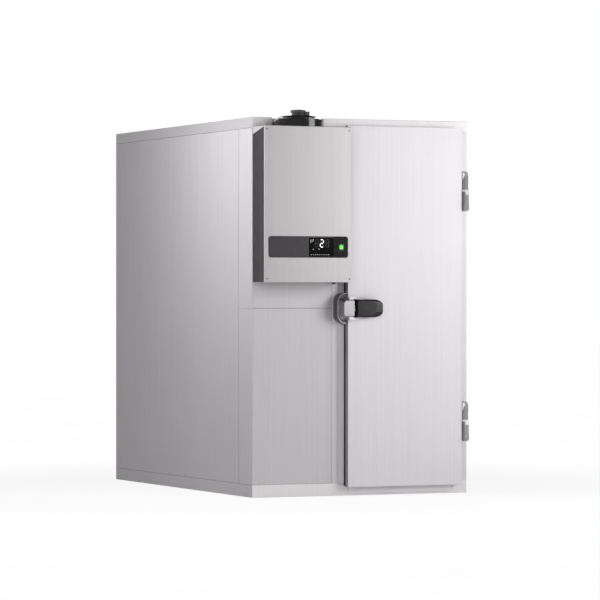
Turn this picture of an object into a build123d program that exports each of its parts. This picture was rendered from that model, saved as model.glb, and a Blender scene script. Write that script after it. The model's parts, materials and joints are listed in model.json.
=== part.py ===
"""Walk-in cold room with a wall-hung refrigeration unit, as separate pieces in one frame.

Lengths are millimetres. Places are measured from the front left corner of the floor, with X to the
right, Y to the back and Z up, and every finished piece is then moved so that the origin lies in the
middle of the floor, at floor level. The front of the room faces -Y.
"""
import math
import os

from build123d import *

# Room
ROOM_WIDTH = 1320.0
ROOM_DEPTH = 2120.0
ROOM_HEIGHT = 2100.0
WALL = 60.0
CEILING = 60.0
FLOOR = 70.0
TREAD = 2.0
UNIT_TALL = 859.0
UNIT_RISE = 6.0
CEILING_JOINT = 1000.0
CORNER_RETURN = 190.0
CORNER_WIDTH = 483.0
CORNER_TOP = ROOM_HEIGHT - CEILING
UNIT_TOP = CORNER_TOP + UNIT_RISE
UNIT_BOTTOM = UNIT_TOP - UNIT_TALL
CORNER_JOINT_DROP = 142.0
CORNER_JOINT_HEIGHT = UNIT_BOTTOM - CORNER_JOINT_DROP

# Doorway
DOORWAY_LEFT = 585.0
RIGHT_POST = 95.0
HEADER_TALL = 55.0
DOORWAY_RIGHT = ROOM_WIDTH - RIGHT_POST
DOORWAY_TOP = CORNER_TOP - HEADER_TALL
FRAME_FLANGE = 63.0
FRAME_SHEET = 2.0
THRESHOLD_LIP = 58.0

# Cam locks in the panel joints
LOCK_LENGTH = 80.0
LOCK_REACH = 60.0
LOCK_THICKNESS = 22.0
LOCK_CLEARANCE = 0.3
LOCK_KEY_OFFSET = 16.0
LOCK_FRONT = 600.0
LOCK_FROM_REAR = 570.0
LOCK_LOW = 600.0
LOCK_FROM_TOP = 550.0
CEILING_LOCKS = (760.0, 240.0)
KEY_BORE_RADIUS = 7.0
CAP_RADIUS = 11.0
CAP_HEAD = 2.0
CAP_STEM = 6.0

# Ceiling lamp
LAMP_FROM_RIGHT = 420.0
LAMP_X = ROOM_WIDTH - LAMP_FROM_RIGHT
LAMP_Y = 300.0
LAMP_BASE_RADIUS = 70.0
LAMP_BASE_HEIGHT = 25.0
LAMP_BASE_EDGE = 4.0
GLOBE_RADIUS = 60.0
GLOBE_HEIGHT = 45.0
GLOBE_WALL = 3.0
GLOBE_EDGE = 18.0

# Door leaf
LEAF_OVERLAP = 34.0
LEAF_LEFT = DOORWAY_LEFT - LEAF_OVERLAP
LEAF_RIGHT = DOORWAY_RIGHT + LEAF_OVERLAP
LEAF_BOTTOM = 50.0
LEAF_RISE = 20.0
LEAF_TOP = CORNER_TOP + LEAF_RISE
LEAF_FRONT = 65.0
LEAF_LIP = 33.0
LEAF_BACK = 14.0
LEAF_STEP = 8.0
LEAF_EDGE = 1.5
GASKET_WIDTH = 25.0
GASKET_LIP = 6.0
GASKET_GAP = 0.3
GASKET_DROP = 6.0
GASKET_TOP = CORNER_TOP - GASKET_DROP

# Hinges
HINGE_OUT = 20.0
HINGE_X = LEAF_RIGHT + HINGE_OUT
HINGE_Y = 70.0
HINGE_LOW = 409.0
HINGE_FROM_TOP = 393.0
HINGE_HEIGHTS = (HINGE_LOW, ROOM_HEIGHT - HINGE_FROM_TOP)
KNUCKLE_RADIUS = 19.0
HINGE_BELOW = 114.0
HINGE_ABOVE = 105.0
HINGE_CAP = 12.0
RING_HEIGHT = 4.0
RING_RADIUS = 20.0
HINGE_PIN_RADIUS = 6.0
PIN_RUNNING = 0.05
RUNNING_GAP = 0.3
HINGE_SIDE_GAP = 3.0
HINGE_TAIL = 45.0
HINGE_BOLT_RADIUS = 4.0
HINGE_BOLT_HEAD = 7.0
HINGE_BOLT_HEAD_HEIGHT = 8.0
HINGE_BOLT_DEPTH = 25.0
HINGE_BOLT_SPREAD = 35.0

# Latch
LATCH_DROP = 143.0
LATCH_HEIGHT = UNIT_BOTTOM - LATCH_DROP
KEEPER_FROM_LEAF = 61.0
KEEPER_LEFT = LEAF_LEFT - KEEPER_FROM_LEAF
KEEPER_WIDTH = 55.0
KEEPER_DEPTH = 60.0
KEEPER_TALL = 172.0
KEEPER_CORNER = 40.0
POCKET_INSET = 12.0
POCKET_TALL = 78.0
POCKET_FLOOR = 18.0
ROLLER_RADIUS = 8.0
ROLLER_IN = 28.0
ROLLER_X = KEEPER_LEFT + ROLLER_IN
ROLLER_Y = 30.0
KEEPER_PIN_RADIUS = 3.0
KEEPER_PIN_LENGTH = 100.0
LATCH_OVERHANG = 10.0
LATCH_WIDTH = 120.0
LATCH_LEFT = KEEPER_LEFT - LATCH_OVERHANG
LATCH_RIGHT = LATCH_LEFT + LATCH_WIDTH
LATCH_TALL = 127.0
LATCH_FRONT = 120.0
LATCH_FACE_IN = 20.0
LATCH_FACE_WIDTH = 70.0
LATCH_FACE_LEFT = LATCH_LEFT + LATCH_FACE_IN
LATCH_FACE_RIGHT = LATCH_FACE_LEFT + LATCH_FACE_WIDTH
LATCH_FACE_TALL = 86.0
LATCH_WALL = 9.0
LATCH_WING_LENGTH = 80.0
LATCH_WING_RIGHT = LATCH_FACE_RIGHT + LATCH_WING_LENGTH
LATCH_WING_TALL = 133.0
LATCH_WING_FRONT = 108.0
LATCH_PLATE = 11.0
LATCH_GRIP_GAP = 3.0
LEVER_IN = 10.0
LEVER_X = LATCH_FACE_RIGHT - LEVER_IN
LATCH_CUT_OFFSET = 6.0
LATCH_CUT = LEVER_X + LATCH_CUT_OFFSET
LEVER_Y = 92.0
LEVER_PIN_RADIUS = 5.0
LEVER_PIN_LENGTH = 92.0
HUB_RADIUS = 14.0
HUB_TALL = 70.0
ARM_TALL = 50.0
ARM_LENGTH = 52.0
ARM_LEFT = LEVER_X - ARM_LENGTH
ARM_FRONT = 100.0
ARM_BACK = 76.0
NOSE_WIDTH = 16.0
NOSE_BACK = 52.0
LEVER_TRAVEL = 25.0
TONGUE_LENGTH = 155.0
TONGUE_RIGHT = LEVER_X + TONGUE_LENGTH
TONGUE_TALL = 30.0
TONGUE_BACK = 99.0
TONGUE_FRONT = 106.0
GRIP_OFFSET = 9.0
GRIP_LEFT = LEVER_X + GRIP_OFFSET
GRIP_LENGTH = 175.0
GRIP_RIGHT = GRIP_LEFT + GRIP_LENGTH
GRIP_TALL = 100.0
GRIP_FRONT = 125.0
GRIP_ROOT_BACK = 80.0
GRIP_BACK = 95.0
GRIP_ROOT_LENGTH = 81.0
GRIP_ROOT_RIGHT = GRIP_LEFT + GRIP_ROOT_LENGTH
GRIP_CORNER = 24.0
GRIP_EDGE = 5.0
GRIP_HUB_GAP = 0.3

# Emergency release through the leaf
RELEASE_OFFSET = 65.0
RELEASE_X = LEVER_X + RELEASE_OFFSET
RELEASE_ROD_RADIUS = 5.0
RELEASE_RUNNING = 0.05
RELEASE_TIP_GAP = 0.5
RELEASE_TRAVEL = 24.0
RELEASE_BUSH_RADIUS = 12.0
RELEASE_FLANGE_RADIUS = 30.0
RELEASE_FLANGE = 4.0
RELEASE_STOP_GAP = 2.0
RELEASE_KNOB_RADIUS = 25.0
RELEASE_KNOB_LENGTH = 20.0
RELEASE_KNOB_EDGE = 5.0

# Refrigeration unit
UNIT_LEFT = 4.0
UNIT_WIDTH = 520.0
UNIT_DEPTH = 170.0
COVER_SHEET = 1.5
COVER_RETURN = 14.0
COVER_CORNER = 3.0
CHASSIS_SHEET = 1.5
CHASSIS_INSET = 2.0
BASE_SHEET = 3.0
SIDE_SEAM = 80.0
SIDE_GAP = 0.3
SIDE_FRONT = 162.0
TOP_SHEET = 2.0
INLET_SLOTS = 3
INLET_LEFT = 198.0
INLET_PITCH = 10.0
INLET_SLOT = 5.0
INLET_START = 12.0
INLET_END = 150.0
COVER_SCREW_INSET_X = 12.0
COVER_SCREW_INSET_Z = 20.0
COVER_SCREW_RADIUS = 2.5
COVER_SCREW_HEAD = 5.0
COVER_SCREW_HEAD_HEIGHT = 2.5
COVER_SCREW_LENGTH = 12.0

# Opening in the panels for the unit
NOTCH_LEFT = 120.0
NOTCH_WIDTH = 310.0
NOTCH_TALL = 140.0
NOTCH_BOTTOM = CORNER_TOP - NOTCH_TALL
NOTCH_BACK = 115.0
PLUG_WALL = 30.0

# Condenser fan
FAN_X = UNIT_LEFT + UNIT_WIDTH / 2
FAN_Y = -28.0
RING_OUTER = 139.0
FAN_RING_WALL = 8.0
RING_GAP = 0.5
FAN_RING_RISE = 5.0
FAN_RING_TOP = ROOM_HEIGHT + FAN_RING_RISE
FAN_RING_SHOULDER = 7.0
GUARD_SHEET = 2.0
GUARD_RISE = 13.0
GUARD_SLOTS = 24
GUARD_SLOT = 8.0
GUARD_RIM = 6.0
MOTOR_RADIUS = 42.0
MOTOR_RISE = 38.0
MOTOR_TOP = FAN_RING_TOP + MOTOR_RISE
MOTOR_EDGE = 5.0
MOTOR_SHAFT = 5.0
CONNECTOR_LENGTH = 26.0
CONNECTOR_WIDTH = 34.0
CONNECTOR_TALL = 16.0
CONNECTOR_INTO = 3.0
BLADE_COUNT = 5
BLADE_RADIUS = 124.0
BLADE_CHORD = 62.0
BLADE_THICK = 3.0
BLADE_PITCH = 26.0
BLADE_ROOT = 4.0
FAN_HUB_RADIUS = 36.0
FAN_HUB_RISE = 12.0
FAN_HUB_BOTTOM = CORNER_TOP + FAN_HUB_RISE
FAN_HUB_TALL = 34.0
SHAFT_RUNNING = 0.05

# Coils
FIN_THICK = 0.8
FIN_PITCH = 10.0
COIL_TUBE = 5.0
COIL_FRONT = 150.0
COIL_BACK = 105.0
COIL_SIDE_GAP = 5.0
COIL_LEFT = NOTCH_LEFT + COIL_SIDE_GAP
COIL_WIDTH = 300.0
COIL_DROP = 105.0
COIL_BOTTOM = CORNER_TOP - COIL_DROP
COIL_TALL = 60.0
COIL_TUBE_PITCH = 30.0
COIL_PLATE = 2.0
COIL_HOLE_GAP = 0.1

# Compressor bay
COMPRESSOR_X = 120.0
COMPRESSOR_Y = -80.0
COMPRESSOR_RADIUS = 70.0
COMPRESSOR_TALL = 172.0
COMPRESSOR_EDGE = 28.0
COMPRESSOR_FOOT = 10.0
FOOT_RADIUS = 12.0
TRAY_LEFT = 230.0
TRAY_WIDTH = 225.0
TRAY_FRONT = 150.0
TRAY_DEPTH = 130.0
TRAY_TALL = 33.0
TRAY_WALL = 1.5
DRIER_X = 340.0
DRIER_Y = -110.0
DRIER_RISE = 263.0
DRIER_BOTTOM = UNIT_BOTTOM + DRIER_RISE
DRIER_LENGTH = 110.0
DRIER_RADIUS = 12.0
DRIER_EDGE = 5.0
DRIER_RUN = 30.0
PIPE_RADIUS = 4.0
PIPE_BEND = 10.0
PIPE_STANDOFF = 20.0
PIPE_WALL_RUN = -30.0
SUCTION_OFFSET = 20.0
PIPE_CLEARANCE = 0.3
GLAND_X = 480.0
GLAND_Y = -30.0
GLAND_RADIUS = 10.0
GLAND_DROP = 12.0
GLAND_NUT = 6.0
GLAND_THREAD = 2.0
GLAND_BORE = 5.0

# Controls
BOARD_LEFT = 230.0
BOARD_FRONT = 154.0
BOARD_DEPTH = 29.0
PANEL_LEFT = 25.0
PANEL_WIDTH = 478.0
PANEL_RISE = 136.0
PANEL_BOTTOM = UNIT_BOTTOM + PANEL_RISE
PANEL_TALL = 113.0
PANEL_THICK = 3.0
PANEL_CORNER = 6.0
DISPLAY_LEFT = 266.0
DISPLAY_WIDTH = 149.0
DISPLAY_RISE = 6.0
DISPLAY_BOTTOM = PANEL_BOTTOM + DISPLAY_RISE
DISPLAY_TALL = 98.0
DISPLAY_LIP = 3.0
DISPLAY_PROUD = 0.5
KEY_LEFT = 444.0
KEY_WIDTH = 33.0
KEY_RISE = 39.0
KEY_BOTTOM = PANEL_BOTTOM + KEY_RISE
KEY_TALL = 38.0
KEY_PROUD = 3.0
KEY_GAP = 0.3
KEY_TRAVEL = 2.0
KEY_CORNER = 4.0

# Air cooler inside the room
COOLER_OVERHANG = 30.0
COOLER_LEFT = NOTCH_LEFT - COOLER_OVERHANG
COOLER_WIDTH = 370.0
COOLER_DEPTH = 300.0
COOLER_TALL = 240.0
COOLER_BOTTOM = CORNER_TOP - COOLER_TALL
COOLER_SHEET = 1.5
COOLER_PLUG_TALL = 170.0
COOLER_PLUG_BOTTOM = CORNER_TOP - COOLER_PLUG_TALL
COOLER_FAN_DROP = 128.0
COOLER_FAN_Z = CORNER_TOP - COOLER_FAN_DROP
COOLER_FAN_RADIUS = 88.0
COOLER_FAN_OPENING = 92.0
COOLER_FAN_GAP = 10.0
COOLER_FAN_DEPTH = 26.0
COOLER_MOTOR_RADIUS = 32.0
COOLER_MOTOR_LENGTH = 34.0
COOLER_COIL_INSET = 28.0
COOLER_COIL_START = 95.0
COOLER_COIL_DEPTH = 120.0
COOLER_COIL_RISE = 15.0
COOLER_COIL_BOTTOM = COOLER_BOTTOM + COOLER_COIL_RISE
COOLER_COIL_TALL = 200.0
COOLER_SLOT_COUNT = 8
COOLER_SLOT = 12.0
SLOT_START = 30.0
SLOT_END = 80.0
COOLER_CHORD = 44.0
GUARD_WIRE = 1.5
GUARD_SPOKES = 4
DRIP_WALL = 2.0
DRIP_TALL = 20.0
DRIP_INSET = 3.0
DRAIN_X = 250.0
DRAIN_RADIUS = 8.0
DRAIN_INSET = 30.0
DRAIN_BEND = 18.0
DRAIN_DROP = 55.0
DRAIN_HEIGHT = COOLER_BOTTOM - DRAIN_DROP
PIPE_DROP = 125.0
PIPE_HEIGHT = CORNER_TOP - PIPE_DROP

# Places that follow from the sizes above
UNIT_RIGHT = UNIT_LEFT + UNIT_WIDTH
NOTCH_RIGHT = NOTCH_LEFT + NOTCH_WIDTH
COOLER_RIGHT = COOLER_LEFT + COOLER_WIDTH
COOLER_FRONT = NOTCH_BACK + PLUG_WALL
COOLER_BACK = COOLER_FRONT + COOLER_DEPTH
CHASSIS_LEFT = UNIT_LEFT + CHASSIS_INSET
CHASSIS_RIGHT = UNIT_RIGHT - CHASSIS_INSET
CHASSIS_BOTTOM = UNIT_BOTTOM + COVER_SHEET + COVER_SHEET

AXES = {"X": Vector(1, 0, 0), "Y": Vector(0, 1, 0), "Z": Vector(0, 0, 1)}


def block(x0, x1, y0, y1, z0, z1):
    """A box between two opposite corners."""
    place = Pos((x0 + x1) / 2, (y0 + y1) / 2, (z0 + z1) / 2)
    return place * Box(x1 - x0, y1 - y0, z1 - z0)


def bar(radius, start, axis, length):
    """A round bar that starts at a point and runs along +X, +Y or +Z."""
    return extrude(Plane(origin=start, z_dir=AXES[axis]) * Circle(radius), length)


def sleeve(radius, bore, start, axis, length):
    """A round bar with a round bore."""
    return bar(radius, start, axis, length) - bar(bore, start, axis, length)


def tube(points, radius, bend):
    """A round pipe along straight runs with tangent bends."""
    path = FilletPolyline(*points, radius=bend)
    return sweep(Plane(origin=path @ 0, z_dir=path % 0) * Circle(radius), path)


def save(name, shape):
    """Move a finished piece, or a group of equal pieces, to the room's origin and write it."""
    pieces = shape if isinstance(shape, list) else [shape]
    solids = [solid for piece in pieces for solid in piece.solids()]
    whole = Compound(solids) if len(solids) > 1 else solids[0]
    placed = Pos(-ROOM_WIDTH / 2, -ROOM_DEPTH / 2, 0) * whole
    export_step(placed, f"parts/{name}.step")


def lock_places():
    """Each cam lock: centre, axis across the joint, axis along it, and where its key bore starts."""
    mid = WALL / 2
    right = ROOM_WIDTH - mid
    rear = ROOM_DEPTH - mid
    low = FLOOR
    high = CORNER_TOP
    inside = WALL
    places = []
    for y in (LOCK_FRONT, ROOM_DEPTH - LOCK_FROM_REAR):
        for z, side in ((low, 1), (high, -1)):
            places.append(((mid, y, z), "Z", "Y", "X", side, (inside, 1)))
            places.append(((right, y, z), "Z", "Y", "X", side, (ROOM_WIDTH - inside, -1)))
    for z, side in ((low, 1), (high, -1)):
        places.append(((ROOM_WIDTH / 2, rear, z), "Z", "X", "Y", side, (ROOM_DEPTH - inside, -1)))
    for z in (LOCK_LOW, ROOM_HEIGHT - LOCK_FROM_TOP):
        places.append(((mid, CORNER_RETURN, z), "Y", "Z", "X", 1, (inside, 1)))
        places.append(((right, WALL, z), "Y", "Z", "X", 1, (ROOM_WIDTH - inside, -1)))
        places.append(((WALL, rear, z), "X", "Z", "Y", 1, (ROOM_DEPTH - inside, -1)))
        places.append(((ROOM_WIDTH - WALL, rear, z), "X", "Z", "Y", -1, (ROOM_DEPTH - inside, -1)))
        places.append(((CORNER_WIDTH, mid, z), "X", "Z", "Y", -1, (inside, 1)))
    for inset in CEILING_LOCKS:
        centre = (ROOM_WIDTH - inset, CEILING_JOINT, ROOM_HEIGHT - CEILING / 2)
        places.append((centre, "Y", "X", "Z", 1, (CORNER_TOP, -1)))
    return places


def lock_block(place, grow):
    """The housing of one cam lock, grown all round."""
    centre, across, along, _, _, _ = place
    size = {axis: LOCK_THICKNESS for axis in "XYZ"}
    size[across] = LOCK_REACH
    size[along] = LOCK_LENGTH
    lengths = [size[axis] + 2 * grow for axis in "XYZ"]
    return Pos(*centre) * Box(*lengths)


def key_place(place):
    """The middle of the key bore in the panel's inner face."""
    centre, across, _, through, side, (face, _) = place
    point = list(centre)
    point["XYZ".index(across)] += side * LOCK_KEY_OFFSET
    point["XYZ".index(through)] = face
    return point


def key_bar(place, radius, out, into):
    """A round bar through the panel's inner face: out of it into the room, and into the panel."""
    _, _, _, through, _, (_, room) = place
    start = key_place(place)
    index = "XYZ".index(through)
    start[index] -= into if room > 0 else out
    return bar(radius, start, through, out + into)


LOCKS = lock_places()
KEY_DEPTH = (WALL - LOCK_THICKNESS) / 2 - LOCK_CLEARANCE


def with_locks(panel):
    """Cut the pockets and key bores of the cam locks that lie in a panel."""
    pockets = [lock_block(place, LOCK_CLEARANCE) for place in LOCKS]
    bores = [key_bar(place, KEY_BORE_RADIUS, 0, KEY_DEPTH + LOCK_CLEARANCE) for place in LOCKS]
    return panel - (pockets + bores)


def cam_locks():
    return [lock_block(place, 0) for place in LOCKS]


def cam_lock_caps():
    caps = []
    for place in LOCKS:
        head = key_bar(place, CAP_RADIUS, CAP_HEAD, 0)
        stem = key_bar(place, KEY_BORE_RADIUS, 0, CAP_STEM)
        caps.append(head + stem)
    return caps


def unit_notch():
    """The space for the unit: through the front panel's head and out through the ceiling."""
    wall = block(NOTCH_LEFT, NOTCH_RIGHT, 0, WALL, NOTCH_BOTTOM, CORNER_TOP)
    roof = block(NOTCH_LEFT, NOTCH_RIGHT, 0, NOTCH_BACK, CORNER_TOP, ROOM_HEIGHT)
    return wall + roof


def corner_panel(bottom, top):
    """An L-shaped corner panel between two heights."""
    front = block(0, CORNER_WIDTH, 0, WALL, bottom, top)
    side = block(0, WALL, 0, CORNER_RETURN, bottom, top)
    return front + side


def threshold_recess():
    return block(DOORWAY_LEFT, DOORWAY_RIGHT, 0, FRAME_SHEET, FLOOR - THRESHOLD_LIP, FLOOR)


def frame_flange():
    """The flat face of the door frame, level with the front of the posts and the header."""
    left = DOORWAY_LEFT - FRAME_FLANGE
    right = DOORWAY_RIGHT + FRAME_FLANGE
    outer = block(left, right, 0, FRAME_SHEET, FLOOR, CORNER_TOP)
    return outer - block(DOORWAY_LEFT, DOORWAY_RIGHT, 0, FRAME_SHEET, FLOOR, DOORWAY_TOP)


def hinge_bolt_places():
    return [(ring - HINGE_BELOW / 2 + offset) for ring in HINGE_HEIGHTS
            for offset in (-HINGE_BOLT_SPREAD, HINGE_BOLT_SPREAD)]


def hinge_bolts():
    """Bolts from the back of the post into the hinge, with their heads sunk in the post."""
    bolts = []
    for z in hinge_bolt_places():
        length = WALL - HINGE_BOLT_HEAD_HEIGHT + HINGE_BOLT_DEPTH
        shank = bar(HINGE_BOLT_RADIUS, (HINGE_X, -HINGE_BOLT_DEPTH, z), "Y", length)
        start = (HINGE_X, WALL - HINGE_BOLT_HEAD_HEIGHT, z)
        bolts.append(shank + bar(HINGE_BOLT_HEAD, start, "Y", HINGE_BOLT_HEAD_HEIGHT))
    return bolts


def floor_panel():
    panel = block(0, ROOM_WIDTH, 0, ROOM_DEPTH, 0, FLOOR)
    return with_locks(panel - threshold_recess())


def floor_tread():
    return block(WALL, ROOM_WIDTH - WALL, WALL, ROOM_DEPTH - WALL, FLOOR, FLOOR + TREAD)


def threshold_plate():
    top = block(DOORWAY_LEFT, DOORWAY_RIGHT, 0, WALL, FLOOR, FLOOR + TREAD)
    return top + threshold_recess()


def ceiling_panel(front, back):
    panel = block(0, ROOM_WIDTH, front, back, CORNER_TOP, ROOM_HEIGHT)
    return with_locks(panel - unit_notch())


def wall_panel_side(left):
    start = CORNER_RETURN if left == 0 else WALL
    return with_locks(block(left, left + WALL, start, ROOM_DEPTH, FLOOR, CORNER_TOP))


def wall_panel_rear():
    panel = block(WALL, ROOM_WIDTH - WALL, ROOM_DEPTH - WALL, ROOM_DEPTH, FLOOR, CORNER_TOP)
    return with_locks(panel)


def corner_panel_upper():
    panel = corner_panel(CORNER_JOINT_HEIGHT, CORNER_TOP) - unit_notch()
    return with_locks(panel - drain_pipe(PIPE_CLEARANCE))


def door_post(left, right):
    post = with_locks(block(left, right, 0, WALL, FLOOR, CORNER_TOP) - frame_flange())
    post -= hinge_bolts()
    return post


def door_header():
    header = block(DOORWAY_LEFT, DOORWAY_RIGHT, 0, WALL, DOORWAY_TOP, CORNER_TOP)
    return header - frame_flange()


def lamp_base():
    base = bar(LAMP_BASE_RADIUS, (LAMP_X, LAMP_Y, CORNER_TOP - LAMP_BASE_HEIGHT), "Z", LAMP_BASE_HEIGHT)
    return fillet(base.edges().group_by(Axis.Z)[0], LAMP_BASE_EDGE)


def lamp_globe():
    """A cup of milk glass, closed below."""
    top = CORNER_TOP - LAMP_BASE_HEIGHT
    outer = bar(GLOBE_RADIUS, (LAMP_X, LAMP_Y, top - GLOBE_HEIGHT), "Z", GLOBE_HEIGHT)
    outer = fillet(outer.edges().group_by(Axis.Z)[0], GLOBE_EDGE)
    depth = GLOBE_HEIGHT - GLOBE_WALL
    inner = bar(GLOBE_RADIUS - GLOBE_WALL, (LAMP_X, LAMP_Y, top - depth), "Z", depth)
    inner = fillet(inner.edges().group_by(Axis.Z)[0], GLOBE_EDGE - GLOBE_WALL)
    return outer - inner


def door_leaf():
    """Foam-filled leaf: a wide front slab and a back slab set in by a step all round."""
    front = block(LEAF_LEFT, LEAF_RIGHT, -LEAF_FRONT, LEAF_LIP - LEAF_FRONT, LEAF_BOTTOM, LEAF_TOP)
    front = fillet(front.faces().sort_by(Axis.Y)[0].edges(), LEAF_EDGE)
    back = block(LEAF_LEFT + LEAF_STEP, LEAF_RIGHT - LEAF_STEP, LEAF_LIP - LEAF_FRONT, -LEAF_BACK,
                 LEAF_BOTTOM + LEAF_STEP, LEAF_TOP - LEAF_STEP)
    bush = bar(RELEASE_BUSH_RADIUS, (RELEASE_X, -LEAF_FRONT, LATCH_HEIGHT), "Y", LEAF_FRONT)
    return front + back - bush


def door_gasket():
    """Black seal that wraps the back slab and meets the frame."""
    left = LEAF_LEFT + LEAF_STEP - GASKET_LIP
    right = LEAF_RIGHT - LEAF_STEP + GASKET_LIP
    bottom = LEAF_BOTTOM + LEAF_STEP - GASKET_LIP
    ring = block(left, right, LEAF_LIP - LEAF_FRONT, -GASKET_GAP, bottom, GASKET_TOP)
    ring -= block(left + GASKET_LIP, right - GASKET_LIP, LEAF_LIP - LEAF_FRONT, -LEAF_BACK,
                  bottom + GASKET_LIP, GASKET_TOP)
    ring -= block(left + GASKET_WIDTH, right - GASKET_WIDTH, -LEAF_BACK, -GASKET_GAP,
                  bottom + GASKET_WIDTH, GASKET_TOP - GASKET_WIDTH)
    return ring


def hinge_axis_bar(radius, bottom, height):
    return bar(radius, (HINGE_X, -HINGE_Y, bottom), "Z", height)


def hinge_frame_parts():
    """The lower half of each hinge, bolted to the post, with the pin's seat."""
    parts = []
    for ring in HINGE_HEIGHTS:
        bottom = ring - HINGE_BELOW
        part = hinge_axis_bar(KNUCKLE_RADIUS, bottom, HINGE_BELOW)
        part += block(LEAF_RIGHT + HINGE_SIDE_GAP, HINGE_X + KNUCKLE_RADIUS, -HINGE_Y, 0, bottom, ring)
        part -= hinge_axis_bar(HINGE_PIN_RADIUS, bottom + HINGE_CAP, HINGE_BELOW)
        parts.append(part - hinge_bolts())
    return parts


def hinge_rings():
    """The bearing ring that carries the door on each hinge."""
    rings = []
    for height in HINGE_HEIGHTS:
        bore = hinge_axis_bar(HINGE_PIN_RADIUS, height, RING_HEIGHT)
        rings.append(hinge_axis_bar(RING_RADIUS, height, RING_HEIGHT) - bore)
    return rings


def hinge_door_parts():
    """The upper half of each hinge, fixed to the leaf's edge, closed by a cap above the pin."""
    parts = []
    for ring in HINGE_HEIGHTS:
        bottom = ring + RING_HEIGHT + RUNNING_GAP
        top = ring + RING_HEIGHT + HINGE_ABOVE
        part = hinge_axis_bar(KNUCKLE_RADIUS, bottom, top - bottom)
        part += block(LEAF_RIGHT, HINGE_X, -HINGE_Y, HINGE_TAIL - HINGE_Y, bottom, top)
        bore = top - HINGE_CAP - bottom
        parts.append(part - hinge_axis_bar(HINGE_PIN_RADIUS + PIN_RUNNING, bottom, bore))
    return parts


def hinge_pins():
    pins = []
    for ring in HINGE_HEIGHTS:
        bottom = ring - HINGE_BELOW + HINGE_CAP
        top = ring + RING_HEIGHT + HINGE_ABOVE - HINGE_CAP - RUNNING_GAP
        pins.append(hinge_axis_bar(HINGE_PIN_RADIUS, bottom, top - bottom))
    return pins


def keeper_pin():
    start = (ROLLER_X, -ROLLER_Y, LATCH_HEIGHT - KEEPER_PIN_LENGTH / 2)
    return bar(KEEPER_PIN_RADIUS, start, "Z", KEEPER_PIN_LENGTH)


def keeper_roller():
    length = POCKET_TALL - 2 * RUNNING_GAP
    start = (ROLLER_X, -ROLLER_Y, LATCH_HEIGHT - length / 2)
    return sleeve(ROLLER_RADIUS, KEEPER_PIN_RADIUS + PIN_RUNNING, start, "Z", length)


def keeper_housing():
    """The box on the frame that the latch closes into, open to the front and to the door."""
    low = LATCH_HEIGHT - KEEPER_TALL / 2
    right = KEEPER_LEFT + KEEPER_WIDTH
    body = block(KEEPER_LEFT, right, -KEEPER_DEPTH, 0, low, low + KEEPER_TALL)
    left_edges = body.edges().filter_by(Axis.Y).group_by(Axis.X)[0]
    body = fillet(left_edges, KEEPER_CORNER)
    pocket = block(KEEPER_LEFT + POCKET_INSET, right, -KEEPER_DEPTH, -POCKET_FLOOR,
                   LATCH_HEIGHT - POCKET_TALL / 2, LATCH_HEIGHT + POCKET_TALL / 2)
    return body - pocket - keeper_pin()


def lever_axis_bar(radius, height):
    return bar(radius, (LEVER_X, -LEVER_Y, LATCH_HEIGHT - height / 2), "Z", height)


def lever_pin():
    return lever_axis_bar(LEVER_PIN_RADIUS, LEVER_PIN_LENGTH)


def latch_wing(low, high):
    """A wedge beside the handle, thick at the housing and thin at its end."""
    points = [(LATCH_FACE_RIGHT, -LEAF_FRONT), (LATCH_WING_RIGHT, -LEAF_FRONT),
              (LATCH_WING_RIGHT, -LEAF_FRONT - LATCH_PLATE), (LATCH_FACE_RIGHT, -LATCH_WING_FRONT)]
    outline = make_face(Polyline(*points, close=True))
    return extrude(Plane(origin=(0, 0, low)) * outline, high - low)


def latch_housing():
    """Bright faceted housing on the leaf, hollow for the lever, with a wing above and below it."""
    centre_x = (LATCH_LEFT + LATCH_RIGHT) / 2
    face_x = (LATCH_FACE_LEFT + LATCH_FACE_RIGHT) / 2
    base = Plane(origin=(centre_x, -LEAF_FRONT, LATCH_HEIGHT), x_dir=(1, 0, 0), z_dir=(0, -1, 0))
    face = Plane(origin=(face_x, -LATCH_FRONT, LATCH_HEIGHT), x_dir=(1, 0, 0), z_dir=(0, -1, 0))
    body = loft([base * Rectangle(LATCH_RIGHT - LATCH_LEFT, LATCH_TALL),
                 face * Rectangle(LATCH_FACE_RIGHT - LATCH_FACE_LEFT, LATCH_FACE_TALL)])
    half = LATCH_WING_TALL / 2
    grip_half = GRIP_TALL / 2 + LATCH_GRIP_GAP
    plate = block(LEAF_LEFT, LATCH_WING_RIGHT, -LEAF_FRONT - LATCH_PLATE, -LEAF_FRONT,
                  LATCH_HEIGHT - half, LATCH_HEIGHT + half)
    body += plate
    body += latch_wing(LATCH_HEIGHT + grip_half, LATCH_HEIGHT + half)
    body += latch_wing(LATCH_HEIGHT - half, LATCH_HEIGHT - grip_half)
    inner = HUB_TALL / 2 + RUNNING_GAP
    body -= block(LATCH_FACE_LEFT, LATCH_FACE_RIGHT, LATCH_WALL - LATCH_FRONT, -LEAF_FRONT,
                  LATCH_HEIGHT - inner, LATCH_HEIGHT + inner)
    body -= block(LATCH_CUT, LATCH_WING_RIGHT, -LATCH_FRONT, -LEAF_FRONT - LATCH_PLATE,
                  LATCH_HEIGHT - grip_half, LATCH_HEIGHT + grip_half)
    body -= bar(RELEASE_ROD_RADIUS + RELEASE_RUNNING, (RELEASE_X, -LATCH_FRONT, LATCH_HEIGHT), "Y",
                LATCH_FRONT)
    return body - lever_pin()


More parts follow.
